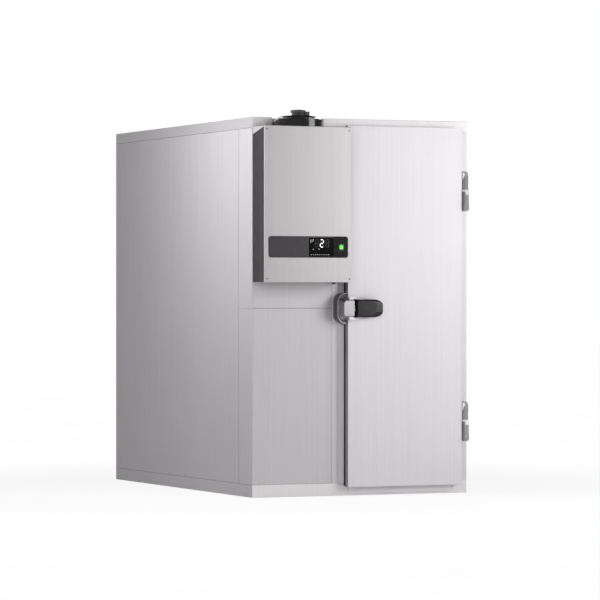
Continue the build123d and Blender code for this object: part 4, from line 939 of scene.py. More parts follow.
def guard_tree() -> Tree:
    """Build the tree of a domed wire guard: rings that rise towards the middle, and ribs across them.

    Returns:
        The tree.
    """
    tree, given = tree_inputs("domed_wire_guard", {
        "Rings": "Int", "Ribs": "Int", "Turn": "Vector", "Inner": "Float", "Outer": "Float",
        "Rise": "Float", "Wire": "Float", "Centre": "Vector", "Tilt": "Vector"})
    inner, outer = given["Inner"], given["Outer"]

    def height(share: Socket) -> Socket:
        """Give the height of the dome as a vector, from the share of the way out."""
        left = maths(tree, "SUBTRACT", 1.0, maths(tree, "POWER", share, 2.0))
        return vector(tree, Z=maths(tree, "MULTIPLY", left, given["Rise"]))

    index = add(tree, "GeometryNodeInputIndex").outputs[0]
    share = maths(tree, "DIVIDE", index, maths(tree, "SUBTRACT", given["Rings"], 1.0))
    radius = ranged(tree, share, inner, outer)
    circle = add(tree, "GeometryNodeCurvePrimitiveCircle", Resolution=72, Radius=1.0)
    hoops = copies(tree, shifted(tree, line_points(tree, given["Rings"]), height(share)), circle.outputs[0],
                   Scale=vector(tree, X=radius, Y=radius, Z=1.0))
    rib = add(tree, "GeometryNodeCurvePrimitiveLine", Start=vector(tree, X=inner), End=vector(tree, X=outer))
    rib = add(tree, "GeometryNodeResampleCurve", Curve=rib.outputs[0], Count=9)
    along = add(tree, "GeometryNodeSplineParameter").outputs["Factor"]
    ribs = spokes(tree, given["Ribs"], given["Turn"], shifted(tree, rib.outputs[0], height(along)))
    both = add(tree, "GeometryNodeJoinGeometry")
    tree.links.new(hoops, both.inputs[0])
    tree.links.new(ribs, both.inputs[0])
    curves = add(tree, "GeometryNodeRealizeInstances", Geometry=both.outputs[0])
    section = add(tree, "GeometryNodeCurvePrimitiveCircle", Resolution=6, Radius=given["Wire"])
    wires = add(tree, "GeometryNodeCurveToMesh", Curve=curves.outputs[0], Profile_Curve=section.outputs[0])
    return tree_end(tree, given, moved(tree, wires.outputs[0], Translation=given["Centre"],
                                       Rotation=given["Tilt"]))


class Layout(Enum):
    """Ways in which copies are set out."""

    GRID = "grid"
    RING = "ring"
    GUARD = "guard"


LAYOUT_TREES: dict[Layout, Callable[[], Tree]] = {
    Layout.GRID: grid_tree, Layout.RING: ring_tree, Layout.GUARD: guard_tree,
}


def repeated(base: Mesh, layout: Layout, finish: Surface, **sizes: Any) -> Mesh:
    """Repeat a mesh, which is removed, with a Geometry Nodes tree.

    Args:
        base: the mesh.
        layout: how the copies are set out.
        finish: their finish.
        sizes: the tree's inputs, with underscores for spaces.

    Returns:
        The plain mesh of all copies.
    """
    tree = LAYOUT_TREES[layout]()
    carrier = linked("repeated", base)
    modifier = carrier.modifiers.new("repeated", "NODES")
    modifier.node_group = tree
    values = {name.replace("_", " "): value for name, value in sizes.items()}
    values["Material"] = finish.material()
    for socket in tree.interface.items_tree:
        if socket.in_out == "INPUT" and socket.name in values:
            modifier[socket.identifier] = values[socket.name]
    mesh = evaluated(carrier)
    bpy.data.objects.remove(carrier)
    bpy.data.meshes.remove(base)
    bpy.data.node_groups.remove(tree)
    return mesh


def gridded(base: Mesh, finish: Surface, count: int, step: Point, rows: int = 1,
            row_step: Point = (0.0, 0.0, 0.0)) -> Mesh:
    """Repeat a mesh in a row of rows.

    Args:
        base: the mesh, which is removed.
        finish: the copies' finish.
        count: copies in a row.
        step: from one copy to the next in millimetres.
        rows: number of rows.
        row_step: from one row to the next in millimetres.

    Returns:
        The plain mesh of all copies.
    """
    return repeated(base, Layout.GRID, finish, Count=count, Step=tuple(side * MM for side in step), Rows=rows,
                    Row_Step=tuple(side * MM for side in row_step))


def ringed(base: Mesh, finish: Surface, count: int, centre: Point, axis: str) -> Mesh:
    """Repeat a mesh round an axis.

    Args:
        base: the mesh, which is removed.
        finish: the copies' finish.
        count: number of copies.
        centre: a place on the axis in millimetres.
        axis: "Y" or "Z".

    Returns:
        The plain mesh of all copies.
    """
    turn = 2 * math.pi / count
    return repeated(base, Layout.RING, finish, Count=count, Centre=tuple(corner(*centre)),
                    Turn=(0.0, turn, 0.0) if axis == "Y" else (0.0, 0.0, turn))


@dataclass
class Assembly:
    """Sub-assembly that is built on the loaded frame.

    Attributes:
        frame: the loaded frame.
    """

    frame: Frame

    def build(self) -> None:
        """Add the sub-assembly's pieces."""
        raise NotImplementedError

    def paint(self, finish: Surface, *nodes: str) -> None:
        """Give CAD nodes, listed by name, a finish."""
        for node in nodes:
            mesh = self.frame["nodes"][node].data
            mesh.materials.clear()
            mesh.materials.append(finish.material())

    def soften(self, node: str, width: float, finish: Finish, body: Body = Body.ROOM, segments: int = 2,
               shortest: float = 0.0, smooth: float = 35.0) -> bpy.types.Object:
        """Replace a CAD node by the same shape with rounded edges.

        Args:
            node: the CAD node.
            width: rounding in millimetres.
            finish: the finish.
            body: the body that it rides on.
            segments: facets of the rounding.
            shortest: only edges longer than this many millimetres are rounded.
            smooth: edges sharper than this many degrees stay sharp.

        Returns:
            The piece.
        """
        work = bmesh.new()
        work.from_mesh(self.frame["nodes"][node].data)
        bmesh.ops.remove_doubles(work, verts=work.verts, dist=2e-6)
        bmesh.ops.dissolve_limit(work, angle_limit=math.radians(1.0), verts=work.verts, edges=work.edges)
        limit = math.radians(40.0)
        edges = [edge for edge in work.edges if len(edge.link_faces) == 2
                 and edge.calc_face_angle(0.0) > limit and edge.calc_length() > shortest * MM]
        bevel(work, edges, width, segments)
        bmesh.ops.triangulate(work, faces=[face for face in work.faces if len(face.verts) > 4])
        return finished(f"{node}_finished", to_mesh(work), finish, body, smooth, node)


@dataclass
class Latch(Assembly):
    """Keeper on the frame, bright housing on the leaf, lever and pull handle, release behind the door.

    Attributes:
        height: the latch's height in millimetres.
        pivot: X and Y of the lever's pin.
        keeper_low: left of the keeper and half its height.
        rim_y: Y of the middle of the rim's roll.
        rod_x: X of the release rod.
    """

    height: float = 1044.0
    pivot: Pair = (560.0, -92.0)
    keeper_low: Pair = (490.0, 86.0)
    rim_y: float = -59.4
    rod_x: float = 625.0

    def build(self) -> None:
        """Add the latch's pieces."""
        self.keeper()
        self.rim()
        self.wings()
        self.housing()
        self.grip()
        self.screws()
        self.soften("latch_lever", 1.0, ZINC, Body.LEVER, smooth=30.0)
        self.paint(ZINC, "lever_pin", "keeper_pin")
        self.paint(WHITE_PLASTIC, "keeper_roller")
        self.release()

    def level_block(self, low: Pair, high: Pair, half: float, round_off: float = 0.0) -> Mesh:
        """Make a box whose middle is at the latch's height."""
        return block((*low, self.height - half), (*high, self.height + half), round_off)

    def upright(self, radius: float, half: float, steps: int = 24, place: Pair | None = None) -> Mesh:
        """Make an upright cylinder round the lever's pin, or at another place."""
        foot = (*(place or self.pivot), self.height - half)
        return lathe(((radius, 0.0), (radius, 2 * half)), foot, "Z", steps)

    def keeper(self) -> None:
        """Add the charcoal keeper, with a pocket for the nose and its roller."""
        left, half = self.keeper_low
        sections = []
        for y, inset in ((0, 1), (-1, 0), (-53, 0), (-57, 0.8), (-59.3, 2.6), (-60, 5),
                         (-60.0, 7.5), (-58.8, 8.6)):
            low = (left + inset, self.height - half + inset)
            high = (545.0 - inset * 0.4, self.height + half - inset)
            radius = 50.0 - inset * 1.1
            sections.append((y, rounded_outline(low, high, (radius, 2.0, 2.0, radius), 14)))
        pocket = self.level_block((502, -61), (546, -18), 39, 1)
        pin = self.upright(3.05, 50.5, place=(518.0, -30.0))
        finished("keeper_housing_finished", carved(loft(sections), [pocket, pin]), KEEPER_GREY,
                 stands_for="keeper_housing")

    def rim(self) -> None:
        """Add the bright roll round the keeper's front."""
        reach, half, end = 49.5, 83.0, 544.5
        route = [(end, self.rim_y, self.height - half)]
        for side in (-1, 1):
            for step in range(13)[::-side]:
                turn = math.pi / 2 * step / 12
                route.append((self.keeper_low[0] + 2.6 + reach - reach * math.sin(turn), self.rim_y,
                              self.height + side * (half - reach + reach * math.cos(turn))))
        route.append((end, self.rim_y, self.height + half))
        finished("keeper_rim", pipe(route, 1.7), RIM_CHROME)

    def wings(self) -> None:
        """Add the wings above and below the handle, which run out to the right."""
        wings = []
        for side in (-1, 1):
            ribs = []
            for x, front, low, high in ((540, -108, 40, 64.6), (572, -106.5, 53.2, 64.6),
                                        (606, -92, 53.2, 62.6), (640, -76.5, 53.2, 59.8),
                                        (673.0, -67.6, 53.2, 56.4)):
                near, far = sorted((self.height + side * low, self.height + side * high))
                ribs.append((x, rounded_outline((front, near), (-65.0, far), (0.9,) * 4, 4)))
            wings.append(loft(ribs, "YZ"))
        finished("latch_wings", joined(wings), CHROME_SATIN, Body.DOOR, 40.0)

    def housing(self) -> None:
        """Add the chrome housing with rounded left shoulders."""
        sections = []
        for y, share, shrink in ((-65, 0, 0), (-112, 0.86, 0), (-117, 0.95, 0.6),
                                 (-119.3, 0.99, 1.8), (-120, 1, 4)):
            left, right = 493 + 8 * share + shrink, 600 - 30 * share - shrink
            half, radius = 63.5 - 20.5 * share - shrink, 26.0 - 10.0 * share
            sections.append((y, rounded_outline((left, self.height - half), (right, self.height + half),
                                                (radius, 3.0, 3.0, radius), 10)))
        plate = prism(((551, -65), (551, -75), (640, -73), (648.5, -70), (650, -65)), "XY",
                      self.height - 58.0, self.height + 58.0, 1.2)
        hollow = self.level_block((504, -111), (570, -64), 35.3)
        mouth = self.level_block((566, -121), (652, -76), 53)
        rod = lathe(((5.1, 0), (5.1, 60)), (self.rod_x, -122, self.height), "Y", 24)
        body = carved(loft(sections), [plate], "UNION")
        body = carved(body, [hollow, mouth, rod, self.upright(5.05, 47.0)])
        piece = finished("latch_housing_finished", body, CHROME, Body.DOOR, 28.0, "latch_housing")
        # Faces turned left take painted shade, and the front bevels that face up a painted reflection of the
        # dark above
        bevel_y = -1.128  # metres: the bevels lie in front of it
        dress_faces(piece, (CHROME_SHADE, CHROME_TOP), lambda face: 1 if face.normal.x < -0.55 else
                    2 if face.normal.z > 0.28 and face.center.y < bevel_y else 0)

    def grip(self) -> None:
        """Add the black handle with a crowned front, a rounded end and a parting line."""
        root_x = 569.5
        sections = []
        for y, top, end, start in ((-95, 0, 0, 0), (-96, 0, 0, 0.5), (-110.5, 0, 0, 8.4),
                                   (-111, 0.8, 0.8, 8.9), (-111.6, 0.8, 0.8, 9.2), (-112.1, 0, 0, 9.4),
                                   (-118.4, 2.6, 5, 12.2), (-122.4, 6, 22, 14.2),
                                   (-124.5, 9, 38, 15.5), (-125, 12, 50, 17)):
            left, right, half = root_x + start, 744.0 - end, 50.0 - top
            wide, tall = 58.0 - end * 0.6, 31.0 - top
            bend = [(right - wide * (1 - math.sin(math.radians(angle))),
                     half - tall * (1 - math.cos(math.radians(angle)))) for angle in range(0, 91, 10)]
            sections.append((y, [(left, self.height - half), *((x, self.height - z) for x, z in bend),
                                 *((x, self.height + z) for x, z in reversed(bend)),
                                 (left, self.height + half)]))
        root = prism(((root_x, -80), (650, -80), (664.5, -95), (664.5, -97), (root_x, -97)), "XY",
                     self.height - 49.5, self.height + 49.5, 1.0)
        tongue = self.level_block((560, -106), (715, -99), 15)
        body = carved(carved(loft(sections), [root], "UNION"), [self.upright(14.3, 52.0, 40), tongue])
        finished("handle_grip_finished", body, HANDLE_BLACK, Body.LEVER, 24.0, "handle_grip")

    def screws(self) -> None:
        """Add the countersunk screws that hold the housing's plate."""
        heads = [lathe(((0, 0), (2.2, 0), (2.6, 0.5), (3, 0.6), (3, 2.5)),
                       (640.0, -75.4, self.height + side * 44.0), "Y", 20) for side in (-1, 1)]
        finished("latch_plate_screws", joined(heads), ZINC, Body.DOOR)

    def release(self) -> None:
        """Add the release rod with its ribbed knob and the guide's flange inside the room."""
        knob = lathe(((5, 0), (25, 0), (25, 13), (23.5, 15), (24.4, 16), (23.2, 18.4),
                      (20, 20), (0, 20)), (self.rod_x, 16, self.height), "Y", 48)
        rod = lathe(((5, 0), (5, 96)), (self.rod_x, -79.5, self.height), "Y", 24)
        finished("release_rod_finished", rod, ZINC, Body.RELEASE, stands_for="release_rod")
        finished("release_knob", knob, KEY_GREEN, Body.RELEASE)
        self.soften("release_bush", 0.8, WHITE_PLASTIC, Body.DOOR, smooth=30.0)


@dataclass
class Door(Assembly):
    """Door leaf and its seal.

    Attributes:
        low: left and bottom of the seal's outside in millimetres.
        high: right and top of it.
        fold: the seal's section, as insets and Y, with a bellows fold and a soft lip against the frame.
    """

    low: Pair = (553.0, 52.0)
    high: Pair = (1257.0, 2034.0)
    fold: tuple[Pair, ...] = (
        (0, -31.9), (0, -24), (2.4, -22), (2.4, -19), (0.3, -16.5), (0, -9), (1, -4),
        (3.5, -1.2), (7, -0.4), (12, -0.4), (17.5, -1.2), (21, -4), (23, -9), (22.6, -13.9))

    def build(self) -> None:
        """Add the leaf, whose left side gets painted shade, and its hollow seal."""
        leaf = self.soften("door_leaf", 1.0, DOOR_STEEL, Body.DOOR, segments=1, shortest=80.0)
        # The leaf's faces turned left take the darker copy of its sheet: painted shade
        dress_faces(leaf, (DOOR_EDGE,), lambda face: int(face.normal.x < -0.5))
        rings = [flat(inset_outline(self.low, self.high, inset, 4.0, 4), "XZ", y) for inset, y in self.fold]
        finished("door_gasket_finished", skinned(rings, looped=True), SEAL_RUBBER, Body.DOOR, 40.0,
                 "door_gasket")


@dataclass
class Hinges(Assembly):
    """Two lift-off hinges: painted castings on the leaf and on the frame, and a light ring between them.

    Attributes:
        axis: X and Y of the pins in millimetres.
        heights: height of each ring.
        reach: radius that the frame's part keeps to, so that the leaf can pass it.
        tall: height of the leaf's part over the ring.
        left: left of the leaf's part.
    """

    axis: Pair = (1279.0, -70.0)
    heights: Pair = (409.0, 1707.0)
    reach: float = 19.9
    tall: float = 109.0
    left: float = 1260.0

    def build(self) -> None:
        """Add both hinges' pieces."""
        for name, part, finish, body, smooth, node in (
                ("hinge_leaf_castings", self.leaf_part, HINGE_GREY, Body.DOOR, 32.0, "hinge_door_parts"),
                ("hinge_frame_castings", self.frame_part, HINGE_GREY, Body.ROOM, 32.0, "hinge_frame_parts"),
                ("hinge_caps", self.cap, LIGHT_PLASTIC, Body.DOOR, 35.0, ""),
                ("hinge_collars", self.collar, LIGHT_PLASTIC, Body.ROOM, 35.0, ""),
                ("hinge_rings_finished", self.ring, LIGHT_PLASTIC, Body.ROOM, 35.0, "hinge_rings")):
            meshes = [mesh for level in self.heights for mesh in part(level)]
            finished(name, joined(meshes), finish, body, smooth, node)
        self.paint(ZINC, "hinge_pins", "hinge_bolts")

    def leaf_part(self, level: float) -> list[Mesh]:
        """Make the casting that is screwed to the leaf, with a hooked top.

        Args:
            level: height of the ring.

        Returns:
            Its front, its barrel and the arm that reaches back to the leaf.
        """
        x, y = self.axis
        low, top = level + 6.4, level + self.tall
        outline = [(self.left + 2.4, low), (x + 15.8, low), (x + 15.8, top - 24), (x + 14, top - 12),
                   (x + 10, top - 5), (x + 2, top), (self.left, top), (self.left, top - 6),
                   (self.left + 15, top - 9), (self.left + 14.4, top - 26),
                   (self.left + 2.4, top - 46.0)]
        barrel = ((6.2, low + 1), (14, low + 1), (15.4, low + 2.4), (15.4, top - 34),
                  (12, top - 28), (6.2, top - 26), (6.2, low + 1))
        return [prism(outline, "XZ", y - 2.5, y + 14, 1.4), lathe(barrel, (x, y + 3, 0), "Z", 32),
                block((self.left - 0.4, y + 5, low + 1), (self.left + 18.5, y + 44.5, top - 1), 1)]

    def cap(self, level: float) -> list[Mesh]:
        """Make the light wedge that covers the screws in the hook of the casting."""
        top = level + self.tall
        outline = [(self.left, top - 6.6), (self.left + 14.4, top - 9.6), (self.left + 13.8, top - 25.6),
                   (self.left + 1.6, top - 46.0), (self.left, top - 46.0)]
        return [prism(outline, "XZ", self.axis[1] - 2.0, self.axis[1] + 4.8, 0.8)]

    def frame_part(self, level: float) -> list[Mesh]:
        """Make the faceted casting on the frame, which widens to its foot.

        Args:
            level: height of the ring.

        Returns:
            The casting and the foot that reaches back to the frame.
        """
        x, y = self.axis
        base = ((-0.76, -0.62), (-0.44, -0.88), (0.56, -0.82), (0.9, -0.42), (0.93, 0.34), (0.52, 0.84),
                (-0.52, 0.84), (-0.76, 0.5))
        body = loft([(level + z, [(x + u * self.reach * share, y + v * self.reach * share) for u, v in base])
                     for z, share in ((-5, 0.86), (-7, 0.9), (-24, 0.9), (-60, 0.92), (-84, 0.96),
                                      (-96, 1.02), (-101, 1.02), (-110, 0.84), (-114, 0.74))], "XY")
        foot = prism(((x - 16.5, level - 113.5), (x + 18.5, level - 113.5), (x + 18.5, level - 6.0),
                      (x - 16.5, level - 6.0)), "XZ", y + 10.0, -0.2, 1.2)
        return [body, foot, block((x - 16.9, -6.0, level - 113.8), (x + 18.9, -0.1, level - 5.0), 1.5)]

    def collar(self, level: float) -> list[Mesh]:
        """Make the light bearing collar at the front of the frame's part."""
        profile = ((0, 0), (12.6, 0), (13.6, 1.2), (13.6, 16), (12.6, 17.5), (0, 17.5))
        return [lathe(profile, (self.axis[0] + 1.0, self.axis[1] - 6.0, level - 22.5), "Z", 32)]

    def ring(self, level: float) -> list[Mesh]:
        """Make the light ring between the castings, with a groove round it."""
        profile = ((6.2, -4.8), (18.6, -4.8), (19.6, -3.6), (19.6, -0.4), (18.9, 0.4), (19.6, 1.2),
                   (19.6, 5.0), (18.6, 6.2), (6.2, 6.2), (6.2, -4.8))
        return [lathe(profile, (*self.axis, level), "Z")]


@dataclass
class UnitBody(Assembly):
    """Cover, side sheets and top plate of the refrigeration unit.

    Attributes:
        screw_low: X and Z of the lower left cover screw in millimetres.
        screw_step: distance between the screws, across and up.
        front: Y of the cover's face.
        louvres: number of louvres.
        louvre_step: distance between them.
    """

    screw_low: Pair = (16.0, 1207.0)
    screw_step: Pair = (496.0, 819.0)
    front: float = -170.0
    louvres: int = 10
    louvre_step: float = 13.0

    def build(self) -> None:
        """Add the unit's outer pieces."""
        self.paint(COVER_STEEL, "front_cover")
        self.soften("unit_side_panels", 0.8, DARKER_SHEET, shortest=60.0)
        self.soften("unit_chassis", 0.8, DARK_SHEET, shortest=60.0)
        self.soften("unit_top_plate", 0.6, DARK_SHEET, segments=1, shortest=60.0)
        self.screws()
        slat = prism(((521.9, -140), (523.4, -141.5), (523.6, -138), (523.6, -96), (523.4, -92.5),
                      (521.9, -94)), "XY", 1240, 1246, 0.8)
        finished("unit_louvres", gridded(slat, DARKER_SHEET, self.louvres, (0.0, 0.0, self.louvre_step)),
                 DARKER_SHEET)
        flap = prism(((-158, 2044), (-0.2, 2044), (-0.2, 2006), (-3, 2005), (-158, 2042)),
                     "YZ", 4.3, 5.9)
        finished("unit_corner_flap", flap, COVER_STEEL)

    def screws(self) -> None:
        """Add cross-recessed screws with a washer at the cover's corners."""
        (x, z), (across, up) = self.screw_low, self.screw_step
        head = lathe(((0, -2.4), (2.6, -2.3), (3.7, -1.7), (4.1, -0.7), (4.2, 0), (5, 0.05),
                      (5.0, 1.2), (0.0, 1.2)), (x, self.front, z), "Y", 20)
        cuts = [block((x - wide, self.front - 3.0, z - tall), (x + wide, self.front - 1.2, z + tall))
                for wide, tall in ((2.4, 0.45), (0.45, 2.4))]
        screws = gridded(carved(head, cuts), ENAMEL, 2, (across, 0, 0), 2, (0, 0, up))
        finished("cover_screws_finished", screws, ENAMEL, stands_for="cover_screws")


@dataclass
class ControlPanel(Assembly):
    """Dark panel with a bare field, a display that shows a temperature, and a lit key.

    Attributes:
        low: left and bottom of the panel in millimetres.
        high: right and top of it.
        display: left, bottom, right and top of the display window.
        key: X and Z of the key's middle.
        key_hole: half the width and half the height of the key's opening.
        face: Y of the panel's face.
        figures_y: front and back of the figures, which stand a little out of the window.
        sign_y: Y of the middle of the key's sign.
    """

    low: Pair = (25.0, 1323.0)
    high: Pair = (503.0, 1441.0)
    display: tuple[float, float, float, float] = (266, 1328, 415, 1433)
    key: Pair = (460.5, 1381.0)
    key_hole: Pair = (17.0, 19.5)
    face: float = -173.0
    figures_y: Pair = (-173.75, -173.45)
    sign_y: float = -175.1

    def build(self) -> None:
        """Add the panel's pieces."""
        self.panel()
        self.figures()
        self.button()
        self.soften("control_board", 1.5, CHARCOAL)

    def key_cut(self, back: float, round_off: float) -> Mesh:
        """Make the opening for the key, down to a place behind the face."""
        (x, z), (wide, tall) = self.key, self.key_hole
        return block((x - wide, self.face - 1.0, z - tall), (x + wide, back, z + tall), round_off)

    def panel(self) -> None:
        """Add the two-tone panel with rounded corners, and the polished display window."""
        left, bottom, right, top = self.display
        body = loft([(y, inset_outline(self.low, self.high, inset, 15.0 - inset * 0.8, 9)) for y, inset in (
            (-170.2, 0.6), (-172, 0), (-172.7, 0.5), (self.face, 1.8), (self.face, 4),
            (self.face + 0.4, 4.6))])
        opening = block((left - 0.4, self.face - 1.0, bottom - 0.4),
                        (right + 0.4, self.face + 1.6, top + 0.4))
        finished("control_panel_finished", carved(body, [opening, self.key_cut(-169.0, 2.0)]), CHARCOAL,
                 smooth=25.0, stands_for="control_panel")
        outline = rounded_outline((right + 0.6, self.low[1] + 2.6), (self.high[0] - 2.6, self.high[1] - 2.6),
                                  (0.5, 12.8, 12.8, 0.5))
        inlay = prism(outline, "XZ", self.face - 0.25, self.face + 0.2)
        finished("control_panel_inlay", carved(inlay, [self.key_cut(-172, 1)]), PANEL_BLACK, smooth=25)
        window = loft([(y, inset_outline((left, bottom), (right, top), inset, 2.5, 5)) for y, inset in (
            (-171.6, 0.0), (-172.9, 0.0), (-173.4, 0.6), (-173.5, 1.5))])
        finished("display_window_finished", window, WINDOW_BLACK, smooth=25.0, stands_for="display_window")

    def digit(self, lit_segments: str, x: float, z: float, height: float) -> tuple[list[Mesh], list[Mesh]]:
        """Make a seven-segment figure.

        Args:
            lit_segments: letters of the segments that are lit, from a at the top clockwise, and g.
            x: its left in millimetres.
            z: its bottom.
            height: its height.

        Returns:
            The lit segments and the dark ones.
        """
        wide, half, thick = height * 0.46, height / 2, height * 0.11 / 2
        gap = thick * 0.7
        outlines = {}
        for name, level in (("a", z + height), ("g", z + half), ("d", z)):
            near, far = x + gap, x + wide - gap
            outlines[name] = [(near, level), (near + thick, level - thick), (far - thick, level - thick),
                              (far, level), (far - thick, level + thick), (near + thick, level + thick)]
        for name, side, foot in (("f", x, z + half), ("b", x + wide, z + half), ("e", x, z),
                                 ("c", x + wide, z)):
            near, far = foot + gap, foot + half - gap
            outlines[name] = [(side, near), (side + thick, near + thick), (side + thick, far - thick),
                              (side, far), (side - thick, far - thick), (side - thick, near + thick)]
        lit, dark = [], []
        for name, outline in outlines.items():
            (lit if name in lit_segments else dark).append(prism(outline, "XZ", *self.figures_y))
        return lit, dark

    def figures(self) -> None:
        """Add the shown temperature, its sign, small marks and a row of plain symbols."""
        left, bottom, right, top = self.display
        lit, dark = [], []
        for segments, share in (("", 0.25), ("abged", 0.455), ("", 0.68)):
            bright, dim = self.digit(segments, left + (right - left) * share, bottom + 54.0, 40.0)
            lit.extend(bright)
            dark.extend(dim)
        small, unused = self.digit("bc", left + 3, top - 28, 18)
        for mesh in unused:
            bpy.data.meshes.remove(mesh)
        dots = [lathe(((0, 0), (size, 0), (size, 0.3), (0, 0.3)), (x, self.figures_y[0], z), "Y", 16)
                for x, z, size in ((left + 25, top - 12, 1.8), (left + 21.5, top - 20, 1.6),
                                   (left + 26, bottom + 40, 1.8), (left + 60, bottom + 42, 1.6))]
        finished("display_figures", joined([*lit, *small, *dots]), LIT_WHITE)
        # The segments that are off glow faintly: painted light
        finished("display_unlit_segments", joined(dark), OFF_SEGMENT_GLOW)
        mark = prism(((left + 12, bottom + 11), (left + 14.2, bottom + 9.4), (left + 16.4, bottom + 11),
                      (left + 15.8, bottom + 13.6), (left + 12.6, bottom + 13.0)), "XZ", *self.figures_y)
        finished("display_symbols", gridded(mark, LIT_SYMBOL, 10, (11.6, 0.0, 0.0)), LIT_SYMBOL)

    def button(self) -> None:
        """Add the crowned key, whose middle glows green, with its sign: an open ring with a bar."""
        x, z = self.key
        low, high = (x - 16.5, z - 19.0), (x + 16.5, z + 19.0)
        crown = loft([(y, inset_outline(low, high, inset, 7.0 - inset * 0.6, 7)) for y, inset in (
            (-156.4, 0.3), (-174, 0.3), (-174.8, 1), (-175.2, 2.6), (-175.3, 5))])
        finished("power_button_finished", crown, LIT_GREEN, Body.KEY, 40.0, "power_button")
        reach, line = 8.0, 0.9
        turns = [math.radians(angle) for angle in range(40, 325, 15)]
        arc = [(x + reach * math.sin(turn), self.sign_y, z - 2.0 + reach * math.cos(turn)) for turn in turns]
        bar = ((x, self.sign_y, z), (x, self.sign_y, z + 8.5))
        finished("power_sign", joined([pipe(arc, line), pipe(bar, line)]), LIT_SIGN, Body.KEY)


def blade(span: Pair, chord: Pair, lift: float, spot: Callable[[float, float, float], Vector]) -> Mesh:
    """Make one swept, twisted fan blade.

    Args:
        span: its first and last radius in millimetres.
        chord: width at the root, and how much it widens.
        lift: height of its curve, as a share.
        spot: turns radius, angle and rise into a place.

    Returns:
        The mesh.
    """
    rings = []
    for step in range(9):
        share = step / 8
        reach = span[0] + (span[1] - span[0]) * share
        pitch = math.radians(38.0 - 18.0 * share)
        width = chord[0] + chord[1] * math.sin(math.pi * min(share * 0.62 + 0.2, 1.0))
        rings.append([spot(reach, math.radians(22.0 * share - 6.0) + side * width * math.cos(pitch) / reach,
                           (side * width * math.sin(pitch) * 0.9 + rise) * lift)
                      for side, rise in ((-0.5, 0.0), (-0.2, 2.6), (0.2, 2.8), (0.5, 0.4), (0.2, 1.2),
                                         (-0.2, 1.0))])
    return skinned(rings)


